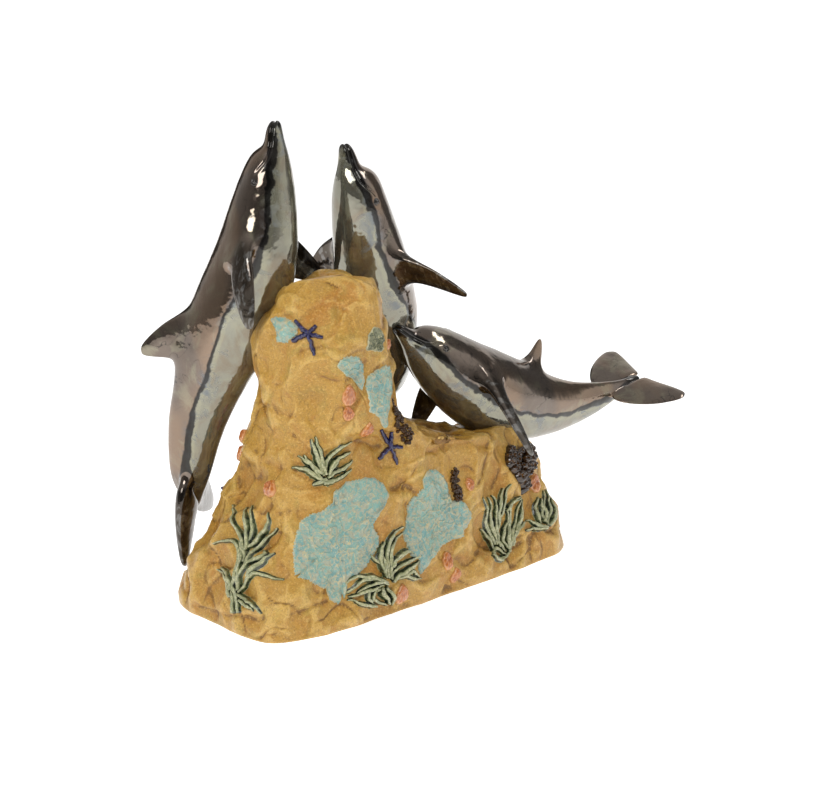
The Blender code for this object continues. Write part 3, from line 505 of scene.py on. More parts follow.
EYE_GLAZE = GlossGlaze(Slot.LUSTRE, (0.03, 0.026, 0.022), (0.008, 0.008, 0.01),
                       (0.16, 0.13, 0.1), 0.6, 0.05)
COBALT_GLAZE = GlossGlaze(Slot.COBALT, (0.006, 0.005, 0.048), (0.002, 0.002, 0.012),
                          (0.018, 0.018, 0.12), 0.0, 0.22, 420.0)
SALMON_GLAZE = GlossGlaze(Slot.SALMON, (0.42, 0.13, 0.026), (0.2, 0.038, 0.007),
                          (0.62, 0.3, 0.12), 0.0, 0.16, 240.0)
AMBER_GLAZE = GlossGlaze(Slot.AMBER, (0.06, 0.024, 0.005), (0.2, 0.085, 0.01),
                         (0.006, 0.003, 0.002), 0.0, 0.05, 110.0)
OLIVE_GLAZE = CrustGlaze((0.07, 0.085, 0.045), (0.03, 0.04, 0.025), (0.16, 0.17, 0.1),
                         (0.42, 0.38, 0.2), (0.52, 0.5, 0.33))


@dataclass(frozen=True)
class PaperSweep:
    """Plain pale studio floor."""

    shade: Colour = (0.9, 0.9, 0.9)
    glow: float = 0.66

    def material(self) -> bpy.types.Material:
        """Make and return the floor's material."""
        tree = GlazeTree(bpy.data.materials.new("studio_floor"))
        weave = tree.noise(300.0, 2.0, 0.5)
        return tree.finish(Base_Color=self.shade, Roughness=0.75 + weave * 0.1,
                           Emission_Color=WHITE, Emission_Strength=self.glow,
                           Specular_IOR_Level=0.2)


# Shape helpers

def unit(vector: np.ndarray) -> np.ndarray:
    """Return a vector of length one."""
    return vector / max(np.linalg.norm(vector), 1e-12)


def unit_rows(rows: np.ndarray) -> np.ndarray:
    """Return every row with length one."""
    return rows / np.maximum(np.linalg.norm(rows, axis=-1, keepdims=True), 1e-12)


def ramp(value: np.ndarray, low: float, high: float) -> np.ndarray:
    """Return 0 up to low, 1 from high on and a soft step between."""
    share = np.clip((value - low) / (high - low), 0.0, 1.0)
    return share * share * (3.0 - 2.0 * share)


def smooth_keys(keys: Iterable[Place], t: np.ndarray) -> np.ndarray:
    """Cubic run through rows of a place and its values, flat past both ends.

    Args:
        keys: rows of place, value, value and so on.
        t: places to read.

    Returns:
        The values at those places.
    """
    table = np.array(list(keys), float)
    knots, values = table[:, 0], table[:, 1:]
    step = np.diff(knots)[:, None]
    rise = np.diff(values, axis=0) / step
    slope = np.zeros_like(values)
    same = rise[1:] * rise[:-1] > 0.0
    bottom = np.where(same, rise[1:] + rise[:-1], 1.0)
    slope[1:-1] = np.where(same, 2.0 * rise[1:] * rise[:-1] / bottom, 0.0)
    slope[0], slope[-1] = rise[0], rise[-1]
    t = np.clip(np.asarray(t, float), knots[0], knots[-1])
    cell = np.clip(np.searchsorted(knots, t, side="right") - 1, 0, len(knots) - 2)
    width = step[cell]
    x = ((t - knots[cell]) / width[..., 0])[..., None]
    a, b = values[cell], values[cell + 1]
    ma, mb = slope[cell] * width, slope[cell + 1] * width
    return (a * (1 + 2 * x) * (1 - x) ** 2 + ma * x * (1 - x) ** 2
            + b * x * x * (3 - 2 * x) + mb * x * x * (x - 1))


def ripple(points: np.ndarray, size: float, seed: float) -> np.ndarray:
    """Return smooth noise from about -1 to 1 at points, with waves of one size."""
    shift = Vector((seed, 1.7 * seed, -seed))
    return np.array([noise.noise(Vector(p) / size + shift) for p in points])


def ring_faces(start: int, count: int, rings: int) -> Faces:
    """Four-sided faces between rings of points.

    Args:
        start: number of the first point.
        count: points a ring.
        rings: number of rings, one after another.

    Returns:
        The faces.
    """
    return [(a + k, a + count + k, a + count + (k + 1) % count, a + (k + 1) % count)
            for a in range(start, start + (rings - 1) * count, count)
            for k in range(count)]


def round_angles(count: int) -> list[float]:
    """Return directions spread evenly round a circle."""
    return [2.0 * pi * k / count for k in range(count)]


def button_faces(count: int, rings: int) -> Faces:
    """Faces of a closed button.

    Args:
        count: points a ring.
        rings: number of rings between the first point, on top, and the last below.

    Returns:
        The faces.
    """
    last = 1 + (rings - 1) * count
    return [(0, 1 + k, 1 + (k + 1) % count) for k in range(count)] \
        + ring_faces(1, count, rings) \
        + [(last + (k + 1) % count, last + k, last + count) for k in range(count)]


def place_in_scene(name: str, data: bpy.types.ID) -> bpy.types.Object:
    """Return a new object of the scene with this mesh, light or camera."""
    item = bpy.data.objects.new(name, data)
    bpy.context.scene.collection.objects.link(item)
    return item


def keep_mark(data: bpy.types.Mesh, name: str, values: np.ndarray) -> None:
    """Keep one value a point on a mesh under a name."""
    layer = data.attributes.new(name, "FLOAT", "POINT")
    layer.data.foreach_set("value", values.astype(np.float32))


@dataclass
class Clay:
    """Points and faces of one piece, with values kept at its points."""

    points: np.ndarray
    faces: Faces
    marks: dict[str, np.ndarray] = field(default_factory=dict)

    @staticmethod
    def joined(parts: Sequence["Clay"]) -> "Clay":
        """Put several forms into one piece.

        Args:
            parts: the forms, with the same marks.

        Returns:
            One form.
        """
        faces: Faces = []
        start = 0
        for part in parts:
            faces += [tuple(i + start for i in face) for face in part.faces]
            start += len(part.points)
        marks = {name: np.concatenate([part.marks[name] for part in parts])
                 for name in parts[0].marks}
        return Clay(np.concatenate([part.points for part in parts]), faces, marks)

    def object(self, name: str, material: bpy.types.Material) -> bpy.types.Object:
        """Make the Blender object.

        Args:
            name: its name.
            material: its material.

        Returns:
            The object, smooth shaded and facing out.
        """
        data = bpy.data.meshes.new(name)
        data.from_pydata(self.points.tolist(), [], self.faces)
        mesh = bmesh.new()
        mesh.from_mesh(data)
        bmesh.ops.recalc_face_normals(mesh, faces=mesh.faces)
        mesh.to_mesh(data)
        mesh.free()
        data.shade_smooth()
        data.materials.append(material)
        for mark, values in self.marks.items():
            keep_mark(data, mark, values)
        return place_in_scene(name, data)


def mark_bend(item: bpy.types.Object, name: str, rounds: int, scale: float) -> None:
    """Keep on a mesh how far each point stands proud of its surroundings.

    Args:
        item: the object.
        name: name of the mesh attribute.
        rounds: how often the surroundings are averaged.
        scale: height in metres that counts as 1.
    """
    data = item.data
    count = len(data.vertices)
    points = np.empty(count * 3)
    data.vertices.foreach_get("co", points)
    points = points.reshape(-1, 3)
    normals = np.array([v.vector for v in data.vertex_normals])
    edges = np.empty(len(data.edges) * 2, int)
    data.edges.foreach_get("vertices", edges)
    edges = edges.reshape(-1, 2)
    ends = np.concatenate((edges[:, 0], edges[:, 1]))
    others = np.concatenate((edges[:, 1], edges[:, 0]))
    valence = np.maximum(np.bincount(ends, minlength=count), 1)[:, None]
    soft = points.copy()
    for _ in range(rounds):
        total = np.stack([np.bincount(ends, weights=soft[others, k], minlength=count)
                          for k in range(3)], axis=1)
        soft = 0.4 * soft + 0.6 * total / valence
    proud = ((points - soft) * normals).sum(axis=1) / scale
    keep_mark(data, name, np.clip(proud, -1.5, 1.5))


# Camera and studio

def seen_from(azimuth: float, elevation: float) -> np.ndarray:
    """Return the direction from the group towards an azimuth and elevation in degrees."""
    turn, lift = radians(azimuth), radians(elevation)
    return np.array([sin(turn) * cos(lift), -cos(turn) * cos(lift), sin(lift)])


def stand_off(item: bpy.types.Object, target: Place, back: np.ndarray, distance: float) -> None:
    """Stand a camera or a light off from a target and turn it there.

    Args:
        item: the camera or light.
        target: what it looks at.
        back: direction from there to it.
        distance: how far off it stands.
    """
    item.location = Vector(np.array(target) + back * distance)
    item.rotation_mode = "QUATERNION"
    item.rotation_quaternion = Vector(-back).to_track_quat("-Z", "Y")


@dataclass
class Viewpoint:
    """Camera of the show view."""

    azimuth: float = SHOW_AZIMUTH
    elevation: float = SHOW_ELEVATION
    distance: float = 1.5
    lens: float = 85.0
    sensor: float = 36.0
    target: Place = (0.055, 0.025, 0.121)
    width: int = 821
    height: int = 800

    def axes(self) -> tuple[np.ndarray, np.ndarray, np.ndarray]:
        """Return the right, up and back directions."""
        turn = radians(self.azimuth)
        back, right = seen_from(self.azimuth, self.elevation), np.array([cos(turn), sin(turn), 0.0])
        return right, np.cross(back, right), back

    def pixels(self, points: np.ndarray) -> np.ndarray:
        """Where points show in the picture.

        Args:
            points: rows of places.

        Returns:
            Rows of column and row in the picture.
        """
        right, up, back = self.axes()
        gap = points - (np.array(self.target) + back * self.distance)
        reach = -(gap @ back)
        scale = self.lens / self.sensor * max(self.width, self.height)
        return np.stack((self.width / 2 + scale * (gap @ right) / reach,
                         self.height / 2 - scale * (gap @ up) / reach), axis=-1)

    def set_up(self) -> None:
        """Make the camera and give it to the scene."""
        data = bpy.data.cameras.new("show_camera")
        data.lens = self.lens
        data.sensor_width = self.sensor
        data.clip_end = 60.0
        item = place_in_scene("show_camera", data)
        stand_off(item, self.target, self.axes()[2], self.distance)
        bpy.context.scene.camera = item


@dataclass
class Softbox:
    """One soft studio light, aimed at the group."""

    name: str
    azimuth: float
    elevation: float
    distance: float
    width: float
    height: float
    power: float
    mirrored: bool = True
    target: Place = (0.05, 0.03, 0.12)

    def set_up(self) -> None:
        """Make the light."""
        data = bpy.data.lights.new(self.name, "AREA")
        data.shape = "ELLIPSE"
        data.size, data.size_y = self.width, self.height
        data.energy = self.power
        item = place_in_scene(self.name, data)
        stand_off(item, self.target, seen_from(self.azimuth, self.elevation), self.distance)
        item.visible_camera = False
        item.visible_glossy = self.mirrored


@dataclass
class Studio:
    """Pale floor, soft room light and the camera."""

    floor_size: float = 9.0
    room: float = 0.62
    backdrop: float = 1.15
    tint: Colour = (1.0, 0.985, 0.965)
    walls: Table = ((-180.0, 1.5), (-168.0, 1.4), (-161.0, 0.04), (-138.0, 0.04),
                    (-132.0, 0.8), (-112.0, 0.55), (-90.0, 0.36), (-60.0, 0.3),
                    (-50.0, 0.18), (-20.0, 0.1), (0.0, 0.1), (25.0, 0.16), (50.0, 0.55),
                    (75.0, 1.4), (104.0, 1.5), (110.0, 0.5), (118.0, 0.2),
                    (142.0, 0.2), (148.0, 1.4), (166.0, 1.5), (180.0, 1.5))
    ceiling: Table = ((-180.0, 0.75), (-60.0, 0.7), (-35.0, 0.9), (10.0, 0.9),
                      (40.0, 0.6), (180.0, 0.75))
    softboxes: tuple[Softbox, ...] = (
        Softbox("key_softbox", -74.0, 31.0, 1.5, 0.8, 0.46, 6.5),
        Softbox("top_softbox", -84.0, 60.0, 1.6, 0.6, 0.5, 7.0, False),
        Softbox("front_fill", -18.0, 20.0, 2.2, 1.4, 1.0, 7.0, False),
        Softbox("rear_softbox", 70.0, 50.0, 1.5, 1.1, 0.2, 3.6),
    )

    def _room_light(self) -> None:
        """Make the room: white sweep behind, dim on the camera's side."""
        world = bpy.data.worlds.new("studio_room")
        bpy.context.scene.world = world
        tree = GlazeTree(world)
        aim = Channel(tree, tree.node("ShaderNodeTexCoord").outputs["Generated"])
        front, side = (Channel(tree, tree.node(
            "ShaderNodeVectorMath", {"operation": "DOT_PRODUCT"}, aim, tuple(way)).outputs[1])
            for way in (-AWAY, ALONG))
        angle = tree.out("ShaderNodeMath", {"operation": "ARCTAN2"}, side, front)
        parts = tree.node("ShaderNodeSeparateXYZ", None, aim)
        lift = Channel(tree, parts.outputs[2])
        low = tree.graded(angle, self.walls)
        high = tree.graded(angle, self.ceiling)
        level = low + (high - low) * tree.ease(lift, 0.5, 0.78)
        seen = Channel(tree, tree.node("ShaderNodeLightPath").outputs["Is Camera Ray"])
        level = level * self.room + (self.backdrop - level * self.room) * seen
        tint = tree.mix(self.tint, WHITE, seen)
        back = tree.node("ShaderNodeBackground", None, Color=tint, Strength=level)
        end = tree.node("ShaderNodeOutputWorld")
        tree.tree.links.new(back.outputs[0], end.inputs[0])

    def _floor(self) -> None:
        """Make the floor."""
        half = self.floor_size / 2.0
        corners = np.array([(-half, -half, 0.0), (half, -half, 0.0),
                            (half, half, 0.0), (-half, half, 0.0)])
        Clay(corners, [(0, 1, 2, 3)]).object("studio_floor", PaperSweep().material())

    def set_up(self) -> None:
        """Make everything around the object."""
        Viewpoint().set_up()
        self._room_light()
        self._floor()
        for softbox in self.softboxes:
            softbox.set_up()
        bpy.context.scene.view_settings.view_transform = "Standard"


# Mound

# Rings of the mound from the floor up: level, height at the left end and at the right
# end as shares of the mound's height, left and right end as shares of its length,
# front and back as shares of its depth, squareness.
ROCK_RINGS = (
    (0.00, 0.0000, 0.0000, -0.4880, 0.5030, -0.4722, 0.5240, 5.4),
    (0.03, 0.0247, 0.0247, -0.4900, 0.5000, -0.4700, 0.5278, 5.2),
    (0.13, 0.1399, 0.1235, -0.4698, 0.4794, -0.4583, 0.5139, 4.0),
    (0.24, 0.2716, 0.2222, -0.4222, 0.4476, -0.4444, 0.4861, 3.4),
    (0.33, 0.3951, 0.3210, -0.3746, 0.4127, -0.4306, 0.4236, 2.9),
    (0.40, 0.4815, 0.3868, -0.3492, 0.3714, -0.4167, 0.3681, 2.6),
    (0.46, 0.5391, 0.4156, -0.3397, 0.3270, -0.4097, 0.3264, 2.5),
    (0.50, 0.5844, 0.4280, -0.3365, 0.2667, -0.4097, 0.2917, 2.4),
    (0.54, 0.6296, 0.4362, -0.3365, 0.1810, -0.4097, 0.2639, 2.4),
    (0.58, 0.6749, 0.4527, -0.3397, 0.0921, -0.4097, 0.2500, 2.4),
    (0.63, 0.7202, 0.4897, -0.3397, 0.0286, -0.4097, 0.2431, 2.4),
    (0.69, 0.7737, 0.5638, -0.3397, -0.0159, -0.4028, 0.2431, 2.4),
    (0.77, 0.8519, 0.7284, -0.3333, -0.0413, -0.3889, 0.2431, 2.4),
    (0.85, 0.9136, 0.8354, -0.3143, -0.0540, -0.3611, 0.2153, 2.4),
    (0.91, 0.9630, 0.9259, -0.2889, -0.0730, -0.3194, 0.1736, 2.5),
    (0.96, 0.9918, 0.9794, -0.2508, -0.1048, -0.2500, 0.1042, 2.5),
    (1.00, 1.0000, 1.0000, -0.2032, -0.1524, -0.1528, 0.0000, 2.3),
)

# Scoops thumbed into the clay: middle as shares of the mound's length, depth and
# height, then reach and depth in metres; a depth below zero is a raised shoulder.
ROCK_SCOOPS = (
    (-0.317, -0.278, 0.658, 0.016, 0.006),
    (-0.143, -0.431, 0.486, 0.022, 0.004),
    (0.038, -0.431, 0.272, 0.020, 0.007),
    (-0.095, -0.444, 0.255, 0.013, 0.006),
    (0.197, -0.444, 0.123, 0.020, 0.006),
    (0.292, -0.403, 0.173, 0.017, 0.005),
    (0.238, -0.389, 0.346, 0.019, 0.005),
    (0.127, -0.278, 0.494, 0.020, 0.004),
    (-0.349, -0.431, 0.165, 0.024, 0.005),
    (-0.476, -0.208, 0.288, 0.026, 0.005),
    (-0.444, 0.208, 0.412, 0.024, 0.005),
    (-0.063, 0.472, 0.494, 0.030, 0.008),
    (0.254, 0.514, 0.206, 0.028, 0.006),
    (-0.238, 0.514, 0.185, 0.026, 0.006),
    (0.470, 0.069, 0.185, 0.024, 0.006),
    (-0.165, -0.382, 0.823, 0.018, 0.004),
    (-0.095, -0.347, 0.733, 0.014, 0.004),
    (-0.057, 0.111, 0.844, 0.030, -0.016),
    (0.216, 0.236, 0.444, 0.028, 0.011),
    (0.311, 0.097, 0.428, 0.024, 0.009),
    (0.324, -0.108, 0.408, 0.022, -0.002),
    (-0.185, 0.002, 1.012, 0.020, 0.008),
    (-0.310, 0.080, 0.665, 0.014, 0.006),
    (-0.325, 0.070, 0.585, 0.014, -0.006),
    (-0.333, 0.099, 0.500, 0.018, -0.005),
    (-0.102, -0.223, 0.930, 0.016, -0.003),
    (0.370, -0.300, 0.340, 0.020, -0.006),
    (0.430, -0.300, 0.170, 0.026, -0.005),
)

# Places left nearly plain, where crusts lie: middle in shares, reach in metres.
ROCK_CALM = (
    (-0.286, -0.403, 0.255, 0.036),
    (-0.222, -0.417, 0.379, 0.028),
    (0.013, -0.431, 0.247, 0.036),
    (-0.152, -0.389, 0.667, 0.018),
    (0.302, 0.382, 0.288, 0.030),
)

# Tool marks as they show: width and depth in millimetres, side (0 a groove, 1 or -1 a
# step up to the right or left of the way it runs), then its points in the picture.
TOOL_MARKS = (
    (3.0, 1.6, 0, ((291, 614), (308, 608), (327, 601))),
    (4.0, 1.2, 0, ((193, 606), (222, 615), (262, 619))),
    (3.5, 1.0, 0, ((274, 516), (290, 511))),
    (5.0, 1.2, 0, ((228, 470), (258, 462), (290, 470), (312, 462))),
    (3.0, 1.4, 0, ((338, 297), (337, 310), (340, 324))),
    (4.0, 2.4, 1, ((341, 288), (358, 298), (370, 312), (374, 330))),
    (4.0, 1.2, 0, ((322, 380), (343, 388))),
    (3.5, 2.0, 0, ((350, 438), (362, 443), (376, 448), (384, 446))),
    (3.5, 2.6, 1, ((407, 448), (409, 466), (408, 486))),
    (5.0, 4.0, 0, ((393, 489), (402, 485), (411, 489))),
    (5.0, 2.4, 0, ((396, 492), (390, 506), (387, 522))),
    (6.0, 2.6, 0, ((452, 557), (464, 561), (478, 551), (494, 545))),
    (4.5, 1.8, 0, ((512, 548), (532, 537), (562, 527))),
    (4.0, 1.8, 1, ((470, 491), (486, 481), (500, 474))),
    (4.0, 1.5, 0, ((452, 444), (472, 443), (492, 447))),
    (4.0, 1.4, 0, ((300, 352), (322, 345), (346, 352))),
    (4.0, 1.2, 0, ((262, 402), (280, 414), (300, 418))),
    (4.0, 1.2, 0, ((310, 420), (322, 436), (330, 446))),
    (5.0, 1.4, 0, ((270, 300), (290, 318), (296, 340))),
    (3.0, 1.2, 0, ((291, 426), (293, 436))),
    (4.0, 1.4, 0, ((416, 444), (432, 452), (444, 448))),
    (6.0, -1.6, 0, ((285, 636), (283, 612), (283, 585))),
)


@dataclass
class Mound:
    """Carved mound with its column, ledge and wide foot."""

    around: int = 460
    levels: int = 196
    carve_depth: float = 0.0042
    carve_cell: float = 0.034
    chip_depth: float = 0.0014
    chip_cell: float = 0.017
    crease_depth: float = 0.0012
    peak_rise: float = 0.0006
    bulge: float = 0.083          # of the back behind the ledge, as a share of the depth
    bulge_middle: float = 0.095
    bulge_reach: float = 0.175
    # Soft waves: height, length and seed; soft steps: height, length, seed and width.
    waves: Table = ((0.0014, 0.024, 11.0), (0.00065, 0.011, 5.0), (0.0002, 0.0042, 9.0))
    steps: Table = ((0.0012, 0.038, 27.0, 0.035), (0.0008, 0.021, 63.0, 0.05))
    view: Viewpoint = field(default_factory=Viewpoint)

    @staticmethod
    def at(x: float, y: float, z: float) -> np.ndarray:
        """Return a row-frame point from shares of the mound's sizes."""
        return np.array([x * MOUND_LENGTH, y * MOUND_DEPTH, z * MOUND_HEIGHT])

    def base(self, turn: np.ndarray, level: np.ndarray) -> np.ndarray:
        """Plain mound surface.

        Args:
            turn: shares of the way round, 0 to 1.
            level: levels, 0 to 1, of the same shape.

        Returns:
            Rows of points.
        """
        ring = smooth_keys(ROCK_RINGS, level)
        low, high, left, right, front, back, square = (ring[..., k] for k in range(7))
        low, high = low * MOUND_HEIGHT, high * MOUND_HEIGHT
        left, right = left * MOUND_LENGTH, right * MOUND_LENGTH
        front, back = front * MOUND_DEPTH, back * MOUND_DEPTH
        height, tilt = (low + high) / 2.0, (high - low) / (right - left)
        cx, cy = (left + right) / 2.0, 0.4 * front + 0.4 * back
        a = (right - left) / 2.0
        front, back = cy - front, back - cy
        angle = np.linspace(0.0, 2.0 * pi, 721)
        c, s = np.cos(angle), np.sin(angle)
        flat = [v.reshape(-1) for v in (turn, height, tilt, cx, cy, a, front, back, square)]
        turn, height, tilt, cx, cy, a, front, back, square = flat
        points = np.empty((turn.size, 3))
        _, group = np.unique(np.round(level.reshape(-1), 9), return_inverse=True)
        order = np.argsort(group, kind="stable")
        starts = np.searchsorted(group[order], np.arange(group.max() + 2))
        for first, last in zip(starts, starts[1:]):
            pick = order[first:last]
            k = pick[0]
            power = 2.0 / square[k]
            x = cx[k] + a[k] * np.sign(c) * np.abs(c) ** power
            half = np.where(s < 0.0, front[k], back[k])
            off = (x / MOUND_LENGTH - self.bulge_middle) / self.bulge_reach
            bulge = self.bulge * MOUND_DEPTH * np.exp(-off ** 2)
            bulge = bulge * (s > 0.0) * np.clip(1.6 - 2.67 * height[k] / MOUND_HEIGHT, 0.0, 1.0)
            y = cy[k] + (half + bulge) * np.sign(s) * np.abs(s) ** power
            run = np.concatenate(([0.0], np.cumsum(np.hypot(np.diff(x), np.diff(y)))))
            way = turn[pick] * run[-1]
            px, py = np.interp(way, run, x), np.interp(way, run, y)
            points[pick] = np.stack((px, py, height[k] + tilt[k] * (px - cx[k])), axis=-1)
        return points

    def calmed(self, push: np.ndarray, points: np.ndarray, share: float) -> np.ndarray:
        """Weaken the relief where crusts lie.

        Args:
            push: height of the relief, one value a place.
            points: rows of places.
            share: how much of it goes in the middle of a calm place.

        Returns:
            The weaker relief.
        """
        for x, y, z, reach in ROCK_CALM:
            away = np.linalg.norm(points - self.at(x, y, z), axis=1) / reach
            push = push * (1.0 - share * np.exp(-away ** 2))
        return push

    @staticmethod
    def scattered(cell: float, seed: int) -> np.ndarray:
        """Middles of scooped facets.

        Args:
            cell: usual distance between them.
            seed: seed of the scatter.

        Returns:
            Rows of points.
        """
        chance = np.random.default_rng(seed)
        low, high = np.array([-0.17, -0.1, -0.02]), np.array([0.17, 0.11, 0.27])
        steps = [np.arange(a, b, cell) for a, b in zip(low, high)]
        grid = np.stack(np.meshgrid(*steps, indexing="ij"), axis=-1).reshape(-1, 3)
        return grid + chance.uniform(-0.5, 0.5, grid.shape) * cell

    def facets(self, here: np.ndarray, cell: float, seed: int,
               top: float = 1.6) -> np.ndarray:
        """Height of scooped facets, with ridges where two meet.

        Args:
            here: rows of places.
            cell: usual width of a facet.
            seed: seed of the scatter.
            top: where the ridges are cut off.

        Returns:
            One value a place, -0.9 in the middle to 0.7 on a ridge.
        """
        flat = np.array([1.0, 1.0, sqrt(0.7)])
        seeds = self.scattered(cell, seed) * flat
        tree = KDTree(len(seeds))
        for index, place in enumerate(seeds):
            tree.insert(place, index)
        tree.balance()
        near = np.array([tree.find(place)[2] for place in here * flat]) ** 2
        return np.clip(near / (0.5 * cell) ** 2, 0.0, top) - 0.9

    def carved(self, turn: np.ndarray, level: np.ndarray) -> np.ndarray:
        """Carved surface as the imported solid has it.

        Args:
            turn: shares of the way round.
            level: levels of the same shape.

        Returns:
            Rows of points.
        """
        step = 0.004
        here = self.base(turn, level)
        side = self.base((turn + step) % 1.0, level) - self.base((turn - step) % 1.0, level)
        rise = self.base(turn, np.minimum(level + step, 1.0)) \
            - self.base(turn, np.maximum(level - step, 0.0))
        normal = unit_rows(np.cross(side, rise))
        push = self.carve_depth * self.facets(here, self.carve_cell, 41)
        for x, y, z, reach, depth in ROCK_SCOOPS:
            away = np.linalg.norm(here - self.at(x, y, z), axis=1) / reach
            push -= depth * np.exp(-away ** 2)
        foot = np.clip(here[:, 2] / 0.012, 0.0, 1.0) * 0.75 + 0.25
        out = here + normal * (self.calmed(push, here, 0.75) * foot)[:, None]
        out[level.reshape(-1) < 1e-6, 2] = 0.0
        out[:, 2] = np.maximum(out[:, 2], 0.0)
        return out

    def tooled(self, points: np.ndarray, normals: np.ndarray) -> np.ndarray:
        """Height of the tool marks on the show side.

        Args:
            points: rows of places.
            normals: the surface directions there.

        Returns:
            Push along the normal, one value a place.
        """
        _, _, back = self.view.axes()
        facing = ramp(normals @ back, 0.05, 0.35)
        seen = self.view.pixels(points)
        push = np.zeros(len(points))
        for width, depth, step, line in TOOL_MARKS:
            best = np.full(len(points), 1e9)
            side = np.zeros(len(points))
            for a, b in zip(np.array(line, float), np.array(line[1:], float)):
                way = b - a
                share = np.clip(((seen - a) @ way) / (way @ way), 0.0, 1.0)
                gap = seen - (a + share[:, None] * way)
                away = np.hypot(gap[:, 0], gap[:, 1])
                turn = way[0] * gap[:, 1] - way[1] * gap[:, 0]
                side = np.where(away < best, np.sign(turn) * away, side)
                best = np.minimum(best, away)
            if step:
                form = 0.5 * np.tanh(-step * side / width) * np.exp(-(best / (5.0 * width)) ** 2)
                push += depth * MILLIMETRE * form * facing
            else:
                push -= depth * MILLIMETRE * np.exp(-(best / width) ** 2) * facing
        return push

    def clay(self) -> Clay:
        """Build the mound.

        Returns:
            The closed form.
        """
        level = np.concatenate(([0.0, 0.008, 0.016, 0.024],
                                np.linspace(0.032, 1.0, self.levels)))
        turn = np.arange(self.around) / self.around
        turn = (turn - 0.42 / (2.0 * pi) * np.sin(2.0 * pi * (turn - 0.66))) % 1.0
        t, l = np.meshgrid(turn, level)
        points = self.carved(t, l).reshape(len(level), self.around, 3)
        side = np.roll(points, -1, axis=1) - np.roll(points, 1, axis=1)
        rise = np.gradient(points, axis=0)
        normals = unit_rows(np.cross(side, rise)).reshape(-1, 3)
        points = points.reshape(-1, 3)
        rough = 0.5 + 0.5 * ripple(points, 0.035, 3.1)
        push = self.chip_depth * self.facets(points, self.chip_cell, 7, 0.95) \
            * ramp(rough, 0.2, 0.7)
        for height, size, seed in self.waves:
            push += height * ripple(points, size, seed)
        for height, size, seed, width in self.steps:
            push += height * np.tanh(ripple(points, size, seed) / width)
        where = ramp(ripple(points, 0.045, 33.0), 0.05, 0.35)
        crease = np.exp(-(ripple(points, 0.027, 21.0) / 0.045) ** 2)
        push += self.tooled(points, normals) - self.crease_depth * crease * where
        push = self.calmed(push, points, 0.6) * np.clip(points[:, 2] / 0.006, 0.0, 1.0)
        points = points + normals * push[:, None]
        points[:, 2] = np.maximum(points[:, 2], 0.0)
        faces: Faces = []
        n = self.around
        for r in range(len(level) - 1):
            low, high = r * n, (r + 1) * n
            faces += [(low + c, low + (c + 1) % n, high + (c + 1) % n, high + c)
                      for c in range(n)]
        faces.append(tuple(range(n - 1, -1, -1)))
        top = (len(level) - 1) * n
        peak = points[top:].mean(axis=0) + UP * self.peak_rise
        faces += [(top + c, top + (c + 1) % n, len(points)) for c in range(n)]
        return Clay(np.vstack((points, peak)), faces)

    def build(self) -> bpy.types.Object:
        """Make the mound, glaze it and return its object."""
        item = self.clay().object("mound", OchreGlaze().material())
        mark_bend(item, "bend", 4, 0.0004)
        mark_bend(item, "broad", 60, 0.0016)
        return hand_in(item, Slot.OCHRE, "rock_mound")


# Handing in

def hand_in(item: bpy.types.Object, slot: Slot, *nodes: str) -> bpy.types.Object:
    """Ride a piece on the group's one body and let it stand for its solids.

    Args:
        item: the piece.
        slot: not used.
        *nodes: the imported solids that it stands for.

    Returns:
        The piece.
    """
    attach(item, "root")
    if nodes:
        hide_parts(*nodes)
    LOG.info("%s: %d points, stands for %s", item.name, len(item.data.vertices),
             ", ".join(nodes) or "nothing")
    return item


# Dolphins

# Dolphin body: share of length from the beak tip, share above the spine,
# share below it, half width.
BODY_PROFILE = (
    (0.000, 0.0080, 0.0080, 0.0095),
    (0.014, 0.0175, 0.0155, 0.0180),
    (0.043, 0.0220, 0.0240, 0.0220),
    (0.060, 0.0250, 0.0320, 0.0265),
    (0.074, 0.0450, 0.0370, 0.0365),
    (0.105, 0.0600, 0.0480, 0.0510),
    (0.170, 0.0730, 0.0680, 0.0660),
    (0.245, 0.0840, 0.0830, 0.0780),
    (0.295, 0.0900, 0.0920, 0.0830),
    (0.345, 0.0960, 0.0990, 0.0875),
    (0.400, 0.0980, 0.1010, 0.0880),
    (0.450, 0.0980, 0.1000, 0.0860),
    (0.495, 0.0960, 0.0970, 0.0820),
    (0.565, 0.0865, 0.0855, 0.0700),
    (0.620, 0.0745, 0.0735, 0.0585),
    (0.735, 0.0530, 0.0520, 0.0370),
    (0.865, 0.0300, 0.0290, 0.0180),
    (0.920, 0.0160, 0.0160, 0.0160),
    (0.965, 0.0100, 0.0100, 0.0160),
    (0.982, 0.0050, 0.0050, 0.0100),
)
RING_ANGLES = (17.0, 70.0, 104.0, 150.0)
CAGE_SIDES = 2 * len(RING_ANGLES)
CAGE_SWELL = 1.075        # makes up for the smoothing of an eight-sided cage
FLIPPER_ROOT = (0.245, 0.345)
FLIPPER_MIDDLE = 0.295
FLUKE_ROOT = (0.865, 0.965)
FLUKE_MIDDLE = 0.94
BLOWHOLE = 0.165
FLIPPER_CHORDS = ((0.2, 0.074, 0.026), (0.58, 0.06, 0.016), (0.93, 0.024, 0.009))
DORSAL_CHORDS = ((0.4, 0.1, 0.02), (0.92, 0.032, 0.009))
FLUKE_CHORDS = ((0.03, 0.112, 0.02), (0.32, 0.104, 0.017), (0.68, 0.073, 0.012),
                (0.96, 0.024, 0.007))


def shown(along: float, away: float, up: float) -> np.ndarray:
    """Return a vector from thousandths along the picture, away from it and up."""
    return (ALONG * along + AWAY * away + UP * up) * MILLIMETRE


